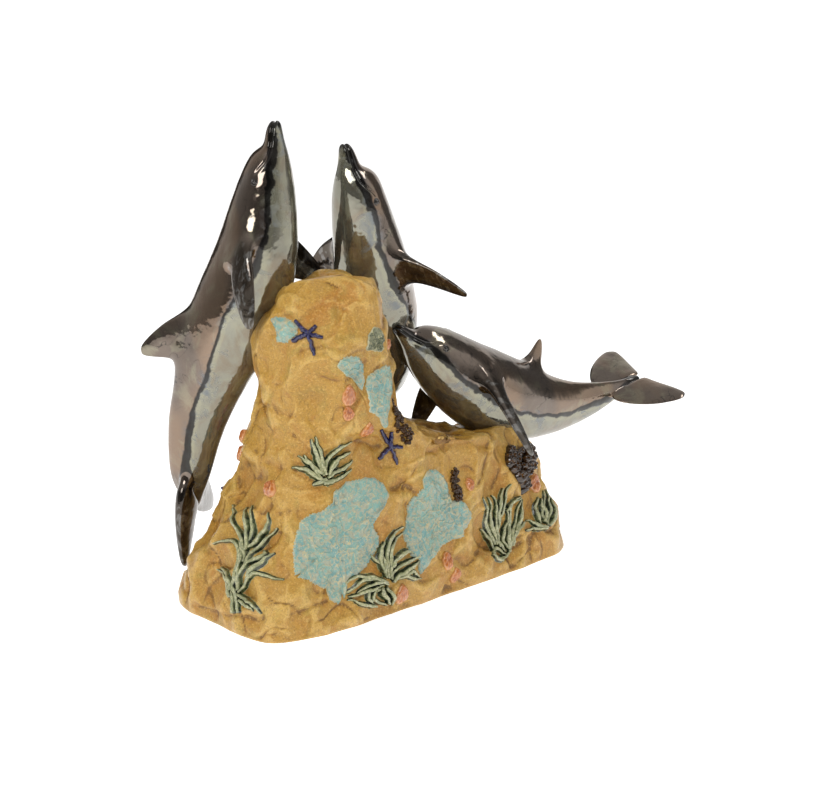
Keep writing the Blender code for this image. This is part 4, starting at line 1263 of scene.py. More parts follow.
class Spine:
    """Smooth line through a body with a back direction at every share."""

    def __init__(self, rest: Place, knots: Table, backs: tuple, size: float) -> None:
        """Lay the line.

        Args:
            rest: place on the mound, in shares of the mound.
            knots: knots from there in thousandths of the length.
            backs: share and back direction.
            size: length of the body.
        """
        points = np.array([Mound.at(*rest) + shown(*k) * size for k in knots])
        chords = np.linalg.norm(np.diff(points, axis=0), axis=1)
        at = np.concatenate(([0.0], np.cumsum(chords)))
        rows = np.column_stack((at, points))
        fine = np.linspace(0.0, at[-1], 400)
        self.points = self.relaxed(smooth_keys(rows, fine))
        run = np.linalg.norm(np.diff(self.points, axis=0), axis=1)
        self.run = np.concatenate(([0.0], np.cumsum(run)))
        self.length = self.run[-1]
        self.backs = [(share, *unit(shown(*back))) for share, back in backs]

    @staticmethod
    def relaxed(points: np.ndarray) -> np.ndarray:
        """Return the line without its small corners."""
        rounds = 500
        for _ in range(rounds):
            points[1:-1] += 0.5 * (0.5 * (points[:-2] + points[2:]) - points[1:-1])
        return points

    def at(self, share: float) -> tuple[np.ndarray, np.ndarray, np.ndarray, np.ndarray]:
        """Frame of the body at a share of its length.

        Args:
            share: 0 at the beak tip, 1 at the notch of the fluke.

        Returns:
            Middle, tail direction, back direction and left direction.
        """
        along = share * self.length

        def point(way: float) -> np.ndarray:
            """Return the place so far along the line."""
            return np.array([np.interp(way, self.run, self.points[:, k]) for k in range(3)])

        tail = unit(point(along + 0.006) - point(along - 0.006))
        back = smooth_keys(self.backs, share)
        back = unit(back - tail * np.dot(back, tail))
        return point(along), tail, back, np.cross(tail, back)


def add_fin(mesh: bmesh.types.BMesh, upper: list, lower: list, sections: list) -> None:
    """Grow a blade out of the strip of faces between two rows of cage points.

    Args:
        mesh: the cage.
        upper: points along the upper side of the strip.
        lower: points along its lower side.
        sections: middle, chord direction, flat direction, chord and thickness.
    """
    count = len(upper)
    strip = [f for f in mesh.faces if all(v in upper or v in lower for v in f.verts)]
    bmesh.ops.delete(mesh, geom=strip, context="FACES_ONLY")
    ring = list(upper) + list(reversed(lower))
    for middle, chord_dir, flat_dir, chord, thick in sections:
        fresh = []
        for side, row in ((1.0, range(count)), (-1.0, reversed(range(count)))):
            for k in row:
                u = k / (count - 1)
                edge = 0.3 + 0.7 * sin(pi * min(0.86, 0.16 + 0.72 * u))
                fresh.append(mesh.verts.new(
                    middle + chord_dir * chord * (u - 0.5)
                    + flat_dir * side * 0.5 * thick * edge))
        total = len(ring)
        for k in range(total):
            n = (k + 1) % total
            mesh.faces.new((ring[k], ring[n], fresh[n], fresh[k]))
        ring = fresh
    for k in range(count - 1):
        mesh.faces.new((ring[k], ring[k + 1], ring[-2 - k], ring[-1 - k]))


def blade(root: np.ndarray, path: tuple, chords: list, turns: tuple,
          flat_hint: np.ndarray) -> list:
    """Sections of a fin along a curved path.

    Args:
        root: middle of its root.
        path: two offsets from the root, the bend and the tip.
        chords: share of the way, chord and thickness.
        turns: chord direction at the root and at the tip.
        flat_hint: rough direction of its flat side.

    Returns:
        Rows for add_fin.
    """
    bend, tip = root + path[0], root + path[1]
    sections = []
    for share, chord, thick in chords:
        a, b = (1 - share) ** 2, 2 * share * (1 - share)
        middle = root * a + bend * b + tip * share ** 2
        heading = unit((bend - root) * (1 - share) + (tip - bend) * share)
        chord_dir = unit(turns[0] * (1 - share) + turns[1] * share)
        chord_dir = unit(chord_dir - heading * np.dot(chord_dir, heading) * 0.85)
        flat = unit(np.cross(heading, chord_dir))
        if np.dot(flat, flat_hint) < 0.0:
            flat = -flat
        flat_hint = flat
        sections.append((middle, chord_dir, flat, chord, thick))
    return sections


@dataclass(frozen=True)
class Limb:
    """Flipper or lobe of a fluke, as shares of the body from the middle of its root.

    Each place is out to the side, towards the back and towards the tail.
    """

    bend: Place
    tip: Place
    edge: Place = (0.1, 0.0, 1.0)
    broad: float = 1.0
    thick: float = 1.0


@dataclass
class Dolphin:
    """One dolphin: pose as shares of its length, then its face and its glaze line."""

    name: str
    node: str
    size: float
    fin: float
    fin_broad: float
    fin_root: tuple[float, float]
    sweep: float
    rest: Place
    knots: Table
    backs: tuple
    girth: Table
    left: Limb
    right: Limb
    lobe_left: Limb
    lobe_right: Limb
    shore: Table
    ink: Table = ((0.0, 3.4), (0.04, 2.8), (0.08, 2.4), (0.16, 1.8), (0.22, 1.2), (0.32, 2.2),
                  (0.42, 0.9), (0.62, 1.1), (0.8, 2.2), (0.92, 3.5), (1.0, 4.0))
    # Share of the fin's dark put on the tail as a painted dark reflection.
    tail_painted_reflection: float = 0.0
    smoothing: int = 4
    eye_share: float = 0.135
    eye_angle: float = 80.0
    eye_radius: float = 0.0019
    mouth_end: float = 0.12
    mouth_depth: float = 0.0011
    glaze: LustreGlaze = field(default_factory=LustreGlaze)

    def spine(self) -> Spine:
        """Return the line through the body."""
        return Spine(self.rest, self.knots, self.backs, self.size)

    def cage(self) -> bmesh.types.BMesh:
        """Build the coarse closed cage.

        Returns:
            The cage.
        """
        spine = self.spine()
        size = self.size
        mesh = bmesh.new()
        rows = []
        for share, top, bottom, wide in BODY_PROFILE:
            place, _, back, left = spine.at(share)
            over, under, beside = smooth_keys(self.girth, share)
            top, bottom, wide = top * over, bottom * under, wide * beside
            ring = []
            for side, order in ((1.0, RING_ANGLES), (-1.0, reversed(RING_ANGLES))):
                for angle in order:
                    c, s = cos(radians(angle)), sin(radians(angle))
                    lift = top if c > 0.0 else bottom
                    ring.append(mesh.verts.new(
                        place + back * c * lift * size * CAGE_SWELL
                        + left * s * side * wide * size * CAGE_SWELL))
            rows.append(ring)
        for ahead, behind in zip(rows, rows[1:]):
            for k in range(CAGE_SIDES):
                n = (k + 1) % CAGE_SIDES
                mesh.faces.new((ahead[k], behind[k], behind[n], ahead[n]))
        for ring, flip in ((rows[0], False), (rows[-1], True)):
            for k in range(3):
                face = (ring[k], ring[k + 1], ring[6 - k], ring[7 - k])
                mesh.faces.new(tuple(reversed(face)) if flip else face)
        self._grow_fins(mesh, rows, spine)
        bmesh.ops.recalc_face_normals(mesh, faces=mesh.faces)
        return mesh

    def _grow_fins(self, mesh: bmesh.types.BMesh, rows: list, spine: Spine) -> None:
        """Grow the dorsal fin, the flippers and the fluke out of the cage.

        Args:
            mesh: the cage.
            rows: its rings of points.
            spine: the line through the body.
        """
        size = self.size
        shares = [row[0] for row in BODY_PROFILE]

        def strip(first: float, last: float, a: int, b: int) -> tuple[list, list]:
            """Rows of cage points along both edges of a strip of faces."""
            span = range(shares.index(first), shares.index(last) + 1)
            return [rows[r][a] for r in span], [rows[r][b] for r in span]

        def middle_of(pair: tuple[list, list]) -> np.ndarray:
            """Middle of a strip."""
            both = pair[0] + pair[1]
            return np.array(sum((v.co for v in both), Vector()) / len(both))

        def scaled(table: Table, broad: float = 1.0, thick: float = 1.0) -> list:
            """Chords and thicknesses of a blade at this dolphin's size."""
            return [(row[0], row[1] * broad * size, row[2] * thick * size) for row in table]

        _, tail, back, left = spine.at(sum(self.fin_root) / 2.0)
        pair = strip(*self.fin_root, 0, 7)
        fin = self.fin * size
        path = (back * 0.46 * fin + tail * 0.26 * fin, back * fin + tail * self.sweep * fin)
        add_fin(mesh, *pair, blade(middle_of(pair), path,
                                   scaled(DORSAL_CHORDS, self.fin_broad),
                                   (tail, unit(tail * 0.9 + back * 0.35)), left))
        sides = ((1.0, self.left, self.lobe_left, 1, 2),
                 (-1.0, self.right, self.lobe_right, 6, 5))
        for side, flipper, lobe, a, b in sides:
            for limb, share, root, chords in (
                    (flipper, FLIPPER_MIDDLE, FLIPPER_ROOT, FLIPPER_CHORDS),
                    (lobe, FLUKE_MIDDLE, FLUKE_ROOT, FLUKE_CHORDS)):
                _, tail, back, left = spine.at(share)
                pair = strip(*root, a, b)
                local = np.column_stack((left * side, back, tail))
                path = (local @ np.array(limb.bend) * size, local @ np.array(limb.tip) * size)
                turns = (tail, unit(local @ np.array(limb.edge)))
                add_fin(mesh, *pair, blade(middle_of(pair), path,
                                           scaled(chords, limb.broad, limb.thick),
                                           turns, back))

    def body_places(self, points: np.ndarray) -> tuple[np.ndarray, ...]:
        """Where points lie on the body.

        Args:
            points: rows of places.

        Returns:
            Share of the length, height over the middle towards the back, and
            distance to the left of it, in metres.
        """
        spine = self.spine()
        shares = np.linspace(0.0, 1.0, 161)
        frames = [spine.at(share) for share in shares]
        middles = np.array([f[0] for f in frames])
        nearest = np.empty(len(points), int)
        batch = 8000
        for first in range(0, len(points), batch):
            part = points[first:first + batch]
            gaps = (part ** 2).sum(1)[:, None] - 2.0 * part @ middles.T \
                + (middles ** 2).sum(1)[None, :]
            nearest[first:first + batch] = gaps.argmin(axis=1)
        tails = np.array([f[1] for f in frames])[nearest]
        offset = points - middles[nearest]
        share = shares[nearest] + (offset * tails).sum(1) / spine.length
        high = (offset * np.array([f[2] for f in frames])[nearest]).sum(1)
        wide = (offset * np.array([f[3] for f in frames])[nearest]).sum(1)
        return np.clip(share, 0.0, 1.0), high, wide

    def _carve_face(self, points: np.ndarray, normals: np.ndarray) -> np.ndarray:
        """Press the mouth line, the blowhole and the soft waves of the clay.

        Args:
            points: rows of places.
            normals: the surface directions there.

        Returns:
            The moved points.
        """
        share, high, wide = self.body_places(points)
        radius = np.hypot(high, wide) + 1e-6
        angle = np.degrees(np.arccos(np.clip(high / radius, -1.0, 1.0)))
        size = self.size
        mouth = 94.0 - 20.0 * ramp(share, 0.075, 0.125)
        gap = np.radians(angle - mouth) * radius
        long = ramp(share, self.mouth_end + 0.008, self.mouth_end - 0.008)
        push = -self.mouth_depth * np.exp(-(gap / 0.0011) ** 2) * long
        push += 0.0005 * np.exp(-((gap - 0.0022) / 0.0016) ** 2) * long
        hole = np.hypot((share - BLOWHOLE) * size, np.radians(angle) * radius)
        push += np.where(high > 0, -0.0012 * np.exp(-(hole / 0.0016) ** 2)
                         + 0.0004 * np.exp(-((hole - 0.0032) / 0.0012) ** 2), 0.0)
        brow = np.hypot((share - self.eye_share) * size,
                        np.radians(angle - self.eye_angle) * radius)
        push += 0.0007 * np.exp(-(brow / 0.0052) ** 2) - 0.0008 * np.exp(-(brow / 0.003) ** 2)
        push += 0.00045 * ripple(points, 0.034, size * 40.0)
        push += 0.00012 * ripple(points, 0.01, size * 70.0)
        return points + normals * push[:, None]

    def marks(self, points: np.ndarray) -> dict[str, np.ndarray]:
        """Values that the glaze follows.

        Args:
            points: rows of places on the skin.

        Returns:
            Millimetres from the glaze line towards the back, half width of the dark
            line in millimetres, and the fin mark: 1 on the flippers for their dark glaze,
            and on the tail its share of painted dark reflection.
        """
        share, high, wide = self.body_places(points)
        radius = np.hypot(high, wide) + 1e-6
        body = smooth_keys(BODY_PROFILE, share) * smooth_keys(self.girth, share) * self.size
        over = np.where(high > 0.0, body[:, 0], body[:, 1])
        plain = 1.0 / np.hypot(high / radius / over, wide / radius / body[:, 2])
        proud = radius / plain
        border = smooth_keys(self.shore, share)[:, 0]
        tone = (high / radius - border) * np.minimum(radius, plain) / MILLIMETRE
        limb = ramp(proud, 1.12, 1.3)
        flipper = limb * ramp(share, 0.235, 0.255) * ramp(share, 0.52, 0.47)
        # On the tail the fin's dark is a painted dark reflection, standing in for the dark room
        # mirrored there.
        flipper = np.maximum(flipper, self.tail_painted_reflection * ramp(share, 0.84, 0.93))
        tone = tone + (8.0 - tone) * np.maximum(limb * (1.0 - flipper), 0.0)
        ink = smooth_keys(self.ink, share)[:, 0]
        return {"tone": tone, "ink": ink, "flipper": flipper}

    def _eyes(self, tree: BVHTree) -> Clay:
        """Build both eye beads.

        Args:
            tree: the body's surface.

        Returns:
            Two small domes with a raised lid round each.
        """
        place, tail, back, left = self.spine().at(self.eye_share)
        beads = []
        count = 24
        profile = ((0.3, 0.95), (0.58, 0.74), (0.8, 0.42), (0.92, 0.16), (1.05, 0.3),
                   (1.22, 0.42), (1.42, 0.3), (1.6, -0.05), (1.7, -0.9))
        for side in (1.0, -1.0):
            turn = radians(self.eye_angle)
            way = Vector(back * cos(turn) + left * side * sin(turn))
            hit, out, _, _ = tree.ray_cast(Vector(place), way)
            across = out.cross(Vector(tail)).normalized()
            along = across.cross(out).normalized()
            points = [hit + out * 0.65 * self.eye_radius]
            for reach, lift in profile:
                points += [hit + (along * cos(angle) * 1.12 + across * sin(angle))
                           * reach * self.eye_radius
                           + out * (lift * 0.75 - 0.1) * self.eye_radius
                           for angle in round_angles(count)]
            points.append(hit - out * 1.3 * self.eye_radius)
            beads.append(Clay(np.array(points), button_faces(count, len(profile))))
        return Clay.joined(beads)

    def build(self) -> bpy.types.Object:
        """Make the dolphin and glaze it.

        Returns:
            The dolphin's object.
        """
        mesh = self.cage()
        data = bpy.data.meshes.new(self.name)
        mesh.to_mesh(data)
        mesh.free()
        item = place_in_scene(self.name, data)
        rounding = item.modifiers.new("rounding", "SUBSURF")
        rounding.levels = rounding.render_levels = self.smoothing
        bpy.context.view_layer.update()
        graph = bpy.context.evaluated_depsgraph_get()
        fine = bpy.data.meshes.new_from_object(item.evaluated_get(graph))
        bpy.data.objects.remove(item)
        points = np.array([v.co for v in fine.vertices])
        normals = np.array([n.vector for n in fine.vertex_normals])
        faces = [tuple(f.vertices) for f in fine.polygons]
        points = self._carve_face(points, normals)
        clay = Clay(points, faces, self.marks(points))
        item = clay.object(self.name, self.glaze.material(self.name))
        mark_bend(item, "bend", 5, 0.0004)
        hand_in(item, Slot.LUSTRE, self.node)
        eyes = self._eyes(BVHTree.FromPolygons([Vector(p) for p in points], faces))
        eyes.marks["bend"] = np.zeros(len(eyes.points))
        name = self.name + "_eyes"
        hand_in(eyes.object(name, EYE_GLAZE.material(name)), Slot.LUSTRE)
        return item


DOLPHINS = (
    Dolphin(
        name="left_body",
        node="dolphin_left",
        size=BIG_LENGTH,
        fin=0.089,
        fin_broad=0.82,
        fin_root=(0.495, 0.62),
        sweep=0.9,
        rest=(-0.273, 0.19, 0.844),
        knots=((34, 16, 447), (34, 16, 407), (28, 16, 360), (19, 16, 311), (9, 16, 264),
               (-6, 16, 168), (-22, 16, 112), (-47, 16, 50), (-75, 16, -16), (-113, 16, -121),
               (-142, 16, -183), (-166, 22, -276), (-177, 34, -357), (-178, 59, -419),
               (-171, 87, -475)),
        backs=((0.0, (-0.93, 0.36, 0.0)), (0.45, (-0.96, 0.28, 0.0)), (0.75, (-1.0, 0.05, 0.0)),
               (1.0, (-0.96, 0.28, 0.0))),
        girth=((0.0, 1.0, 1.0, 1.0), (0.3, 1.04, 1.08, 1.0), (0.6, 1.12, 1.14, 1.05),
               (0.74, 1.3, 1.34, 1.15), (0.87, 1.8, 1.85, 1.3), (0.93, 2.5, 2.2, 1.3),
               (1.0, 1.5, 1.5, 1.2)),
        left=Limb((0.07, -0.03, 0.038), (0.17, -0.09, 0.08), (0.0, -0.2, 1.0), 1.35),
        right=Limb((0.05, -0.03, 0.045), (0.05, -0.085, 0.165), (0.0, 1.0, 0.35), 1.0),
        lobe_left=Limb((0.055, 0.004, 0.08), (0.108, 0.004, 0.178), broad=1.15, thick=1.3),
        lobe_right=Limb((0.045, 0.004, 0.03), (0.085, 0.01, 0.174), broad=1.0, thick=2.6),
        # Painted dark reflection on the tail: its fin's dark stands in for the dark room mirrored
        # there.
        tail_painted_reflection=0.85,
        shore=((0.0, -0.2), (0.07, -0.25), (0.14, -0.4), (0.22, -0.5), (0.3, -0.42),
               (0.45, -0.08), (0.62, 0.08), (0.85, 0.3), (1.0, 0.1)),
    ),
    Dolphin(
        name="behind_body",
        node="dolphin_behind",
        size=BIG_LENGTH,
        fin=0.08,
        fin_broad=0.9,
        fin_root=(0.495, 0.62),
        sweep=1.05,
        rest=(-0.033, 0.095, 0.877),
        knots=((-20, -31, 360), (-12, -28, 301), (1, -19, 245), (22, 6, 152), (40, 50, 53),
               (55, 106, -56), (66, 156, -158), (80, 202, -240), (70, 258, -298),
               (-12, 302, -300), (-88, 318, -280), (-158, 324, -265)),
        backs=((0.0, (0.85, 0.52, 0.0)), (0.3, (0.62, 0.78, 0.0)), (0.52, (0.1, 0.98, 0.1)),
               (0.85, (0.2, 0.35, 0.9)), (1.0, (0.1, 0.2, 1.0))),
        girth=((0.0, 1.0, 1.0, 1.0), (0.085, 1.2, 1.0, 1.1), (0.16, 1.04, 1.0, 1.08),
               (0.3, 0.98, 1.03, 1.03), (0.6, 1.05, 1.05, 1.05), (1.0, 1.0, 1.0, 1.0)),
        left=Limb((0.07, 0.0, -0.02), (0.194, 0.018, 0.036), (0.15, 0.1, 1.0), 0.92),
        right=Limb((0.05, -0.02, 0.05), (0.11, -0.06, 0.15), (0.0, 0.0, 1.0), 1.25),
        lobe_left=Limb((0.068, 0.0, 0.01), (0.146, 0.0, 0.118), broad=1.25, thick=1.2),
        lobe_right=Limb((0.068, 0.0, 0.01), (0.146, 0.0, 0.118), broad=1.25, thick=1.2),
        shore=((0.0, 0.1), (0.05, -0.05), (0.1, -0.06), (0.16, -0.12), (0.24, -0.34),
               (0.32, -0.34), (0.45, -0.3), (0.62, -0.25), (0.85, -0.1), (1.0, 0.0)),
    ),
    Dolphin(
        name="calf_body",
        node="dolphin_calf",
        size=CALF_LENGTH,
        fin=0.088,
        fin_broad=0.5,
        fin_root=(0.495, 0.565),
        sweep=0.16,
        rest=(0.324, -0.112, 0.42),
        knots=((-272, -180, 327), (-235, -158, 290), (-191, -129, 246), (-121, -81, 180),
               (-29, -18, 114), (70, 51, 62), (176, 129, 26), (257, 188, 11), (349, 254, 18),
               (430, 312, 37), (471, 342, 48)),
        backs=((0.0, (0.25, 0.55, 0.8)), (0.3, (0.35, 0.45, 0.85)), (0.55, (0.1, 0.15, 1.0)),
               (1.0, (0.0, -0.38, 1.0))),
        girth=((0.0, 1.1, 1.1, 1.1), (0.07, 1.15, 1.2, 1.15), (0.15, 1.32, 1.37, 1.25),
               (0.3, 1.2, 1.42, 1.2), (0.55, 1.06, 1.48, 1.12), (0.72, 0.95, 1.62, 1.08),
               (0.87, 0.95, 1.75, 1.05), (1.0, 1.0, 1.1, 1.0)),
        left=Limb((0.07, -0.06, 0.04), (0.1, -0.18, 0.18), (0.0, 0.0, 1.0), 0.9),
        right=Limb((0.052, -0.068, 0.01), (0.084, -0.188, 0.04), (0.0, 0.0, 1.0), 1.3),
        lobe_left=Limb((0.068, 0.0, 0.01), (0.146, 0.0, 0.118), broad=1.5, thick=1.1),
        lobe_right=Limb((0.068, 0.0, 0.01), (0.15, 0.0, 0.11), broad=1.5, thick=1.1),
        shore=((0.0, -0.1), (0.07, -0.1), (0.14, -0.2), (0.22, -0.34), (0.32, -0.4),
               (0.45, -0.42), (0.62, -0.4), (0.78, -0.3), (0.88, -0.25), (1.0, -0.1)),
    ),
)


# Sprigs

class Ground:
    """Mound surface that sprigs are pressed onto, seen from one side of the group."""

    above = 0.022        # how far over a place the surface is looked for, in metres
    reach = 0.05

    def __init__(self, item: bpy.types.Object) -> None:
        """Read the surface.

        Args:
            item: the mound.
        """
        points = [v.co.copy() for v in item.data.vertices]
        faces = [tuple(f.vertices) for f in item.data.polygons if len(f.vertices) < 5]
        self.tree = BVHTree.FromPolygons(points, faces)

    def settle(self, along: float, up: float, turn: float = 0.0,
               spread: float = 0.008) -> tuple[Vector, Vector, Vector, Vector]:
        """Frame at a place seen from one side.

        Args:
            along: share of the mound's length along the picture.
            up: share of the mound's height.
            turn: plan angle from the show view to the view used, in degrees.
            spread: distance over which the slope is taken.

        Returns:
            Point, right, up and out.
        """
        c, s = cos(radians(turn)), sin(radians(turn))
        toward = Vector(AWAY * c - ALONG * s)
        across = ALONG * c + AWAY * s
        hits, outs = [], []
        for a, b in ((0, 0), (1, 0), (-1, 0), (0, 1), (0, -1), (1, 1), (-1, 1), (1, -1),
                     (-1, -1)):
            start = Vector(across * (along * MOUND_LENGTH + a * spread)
                           + UP * (up * MOUND_HEIGHT + b * spread)) - toward
            hit = self.tree.ray_cast(start, toward)
            if hit[0] is not None:
                hits.append(hit[0])
                outs.append(hit[1] if hit[1].dot(toward) < 0.0 else -hit[1])
        out = sum(outs, Vector()).normalized()
        rise = (Vector(UP) - out * out.z).normalized()
        return hits[0], rise.cross(out), rise, out

    def press(self, frame: tuple, across: float, rise: float) -> tuple[Vector, Vector]:
        """Place on the surface at local millimetres.

        Args:
            frame: frame from settle.
            across: distance to the right.
            rise: distance up.

        Returns:
            The point and the surface direction there.
        """
        origin, right, up, out = frame
        place = origin + right * (across * MILLIMETRE) + up * (rise * MILLIMETRE)
        hit, slope, _, _ = self.tree.ray_cast(place + out * self.above, -out, self.reach)
        if hit is None:
            return place, out
        return hit, slope if slope.dot(out) > 0.0 else -slope


@dataclass
class Sprig:
    """Small clay piece pressed onto the mound; each kind has its slot and glaze."""

    name: str
    spot: Place

    bend = ()

    def clay(self, ground: Ground) -> Clay:
        """Build the form.

        Args:
            ground: the mound's surface.

        Returns:
            The closed form.
        """
        raise NotImplementedError

    def build(self, ground: Ground) -> bpy.types.Object:
        """Make the sprig, glaze it and hand it in.

        Args:
            ground: the mound's surface.

        Returns:
            The sprig's object.
        """
        item = self.clay(ground).object(self.name, self.glaze.material(self.name))
        if self.bend:
            mark_bend(item, "bend", *self.bend)
        return hand_in(item, self.slot, self.name)


@dataclass
class Crust(Sprig):
    """Thin crust of coral with raised veins."""

    slot = Slot.TURQUOISE

    outline: Table
    middle: tuple[float, float] = (0.0, 0.0)
    lift: float = 0.0017
    vein: float = 0.0044
    relief: float = 0.0008
    warp: float = 0.0012
    sink: float = 0.001
    root: float = 0.004
    round_off: float = 1.6        # millimetres from the rim to the full height
    rim: float = 0.9              # width of the pale rim in millimetres
    glaze: CrustGlaze = field(default_factory=CrustGlaze)

    def _reaches(self, angles: np.ndarray, phase: float) -> np.ndarray:
        """Distance from the middle to the ragged edge.

        Args:
            angles: directions, 0 to two pi.
            phase: shift of the raggedness.

        Returns:
            Millimetres, one a direction.
        """
        edge = np.array(self.outline) - np.array(self.middle)
        turns = np.arctan2(edge[:, 1], edge[:, 0])
        order = np.argsort(turns)
        turns, far = turns[order], np.hypot(edge[:, 0], edge[:, 1])[order]
        reach = np.interp(angles, turns, far, period=2.0 * pi)
        rag = [noise.noise(Vector((cos(a), sin(a), phase)) * r * 0.22)
               + 0.6 * noise.noise(Vector((cos(a), sin(a), phase)) * r * 0.55)
               for a, r in zip(angles, reach)]
        return reach + 1.3 * np.array(rag)

    def clay(self, ground: Ground) -> Clay:
        """Build the crust.

        Args:
            ground: the mound's surface.

        Returns:
            The closed form.
        """
        frame = ground.settle(*self.spot)
        phase = 315.0 * self.spot[0]
        widest = max(np.hypot(*place) for place in self.outline)
        count = int(min(300, max(72, widest * 7.0)))
        steps = int(min(60, max(14, widest * 1.6)))
        angles = 2.0 * pi * np.arange(count) / count
        reach = self._reaches(angles, phase)
        # The rim's ring is doubled in place, so the edge is shaded crisply.
        shares = np.concatenate((np.linspace(0.0, 0.95, steps)[1:], (0.98, 1.0, 1.01)))
        rows = [self.middle] + [(self.middle[0] + min(share, 1.0) * r * cos(a),
                                 self.middle[1] + min(share, 1.0) * r * sin(a))
                                for share in shares for a, r in zip(angles, reach)]
        rim = np.append(0.0, np.repeat(shares, count))
        base = np.array([ground.press(frame, *row)[0] for row in rows])
        out = np.array(frame[3])
        inset = (1.0 - rim) * np.append(9.0, np.tile(reach, len(shares)))
        cushion = np.sqrt(np.clip(inset / self.round_off, 0.0, 1.0))
        warped = base + self.warp * np.stack([ripple(base, 0.005, phase + k)
                                              for k in range(3)], axis=1)
        vein = np.exp(-(ripple(warped, self.vein, phase) / 0.13) ** 2)
        soft = ripple(base, 0.011, phase)
        lift = self.lift * cushion * (1.0 + 0.4 * soft) + self.relief * (vein - 0.25) * cushion
        lift = np.where(rim > 0.999, -self.sink, lift)
        points = np.vstack((base + out * lift[:, None],
                            np.array(frame[0]) - out * self.root))
        marks = {"rim": np.append(np.exp(-inset / self.rim), 0.0),
                 "vein": np.append(vein, 0.0)}
        return Clay(points, button_faces(count, len(shares)), marks)


def strand(ground: Ground, frame: tuple, line: np.ndarray, width: float, height: float,
           seed: float, groove: float = 0.06, tip: float = 0.3,
           skirt: float = 1.42) -> Clay:
    """One clay strand laid on the mound.

    Args:
        ground: the mound's surface.
        frame: frame from settle.
        line: rows of local millimetres, from the root to the tip.
        width: widest width in millimetres.
        height: height in metres.
        seed: shift of its unevenness.
        groove: depth of the furrow along its middle, as a share of the height.
        tip: width at the tip as a share.
        skirt: reach of the thin pool of glaze at its foot, as a share of its width.

    Returns:
        The closed form, with its crest kept as a mark.
    """
    count = len(line)
    profile = ((-skirt, -0.4), (-skirt + 0.12, 0.06), (-1.0, 0.16), (-0.7, 0.66),
               (-0.38, 0.96), (0.0, 1.0 - groove), (0.38, 0.96), (0.7, 0.66), (1.0, 0.16),
               (skirt - 0.12, 0.06), (skirt, -0.4))
    crests = (1.0, 0.8, 0.12, 0.42, 1.0, 1.0 - 4.0 * groove, 1.0, 0.42, 0.12, 0.8, 1.0)
    ways = np.gradient(line, axis=0)
    points, marks = [], []
    for k, (place, way) in enumerate(zip(line, unit_rows(ways))):
        share = k / (count - 1)
        wide = 0.5 * width * (0.7 + 0.3 * sin(pi * min(0.5, share * 1.6)))
        wide *= 1.0 - (1.0 - tip) * share ** 3.0
        wide *= 1.0 + 0.34 * noise.noise(Vector((seed, share * 4.0, 0.0)))
        wide *= 1.0 + 0.3 * noise.noise(Vector((seed, share * 15.0, 3.0)))
        tall = height * (1.0 - 0.5 * share ** 2.5)
        tall *= 1.0 + 0.5 * noise.noise(Vector((seed, share * 4.0, 7.0)))
        aside = np.array([-way[1], way[0]])
        sway = 0.9 * noise.noise(Vector((seed, share * 6.0, 11.0)))
        for (across, lift), crest in zip(profile, crests):
            spot = place + aside * (across * wide + sway)
            hit, _ = ground.press(frame, *spot)
            points.append(np.array(hit + frame[3] * (lift * tall)))
            marks.append(crest)
    total = len(profile)
    faces = []
    for k in range(count - 1):
        a, b = k * total, (k + 1) * total
        faces += [(a + j, a + j + 1, b + j + 1, b + j) for j in range(total - 1)]
        faces.append((a + total - 1, a, b, b + total - 1))
    faces.append(tuple(range(total)))
    faces.append(tuple(reversed(range((count - 1) * total, count * total))))
    return Clay(np.array(points), faces, {"crest": np.array(marks)})


@dataclass
class Weed(Sprig):
    """Clump of sea weed: clay strands laid along lines in local millimetres."""

    slot = Slot.GREEN

    lines: tuple[Table, ...]
    width: float = 4.5
    height: float = 0.0046
    glaze: LeafGlaze = field(default_factory=LeafGlaze)

    def clay(self, ground: Ground) -> Clay:
        """Build the clump.

        Args:
            ground: the mound's surface.

        Returns:
            The strands as one form.
        """
        frame = ground.settle(*self.spot)
        parts = []
        for k, line in enumerate(self.lines):
            rows = np.array(line, float)
            run = np.append(0.0, np.cumsum(np.hypot(*np.diff(rows, axis=0).T)))
            keys = np.column_stack((run, rows))
            steps = max(8, int(run[-1] / 1.5))
            way = smooth_keys(keys, np.linspace(0.0, run[-1], steps))
            size = 1.0 - 0.1 * (k % 3)
            parts.append(strand(ground, frame, way, self.width * size,
                                self.height * (0.78 + 0.11 * (k % 4)), k * 1.7 + run[-1]))
        return Clay.joined(parts)


@dataclass
class Starfish(Sprig):
    """Small starfish with five uneven arms."""

    slot = Slot.COBALT
    glaze = COBALT_GLAZE
    bend = (2, 0.0005)

    tips: Table
    middle: tuple[float, float] = (0.0, 0.0)
    width: float = 3.5
    height: float = 0.003

    def clay(self, ground: Ground) -> Clay:
        """Build the starfish.

        Args:
            ground: the mound's surface.

        Returns:
            The arms as one form.
        """
        frame = ground.settle(*self.spot)
        parts = []
        for k, tip in enumerate(self.tips):
            along = np.array(tip) - np.array(self.middle)
            aside = np.array([-along[1], along[0]])
            run = np.linspace(-0.12, 1.0, 16)[:, None]
            bow = 0.1 * sin(k * 2.1 + 1.0)
            line = np.array(self.middle) + along * run + aside * bow * run * (1.0 - run)
            parts.append(strand(ground, frame, line, self.width, self.height, k * 3.1,
                                -0.04, 0.72, 1.12))
        return Clay.joined(parts)


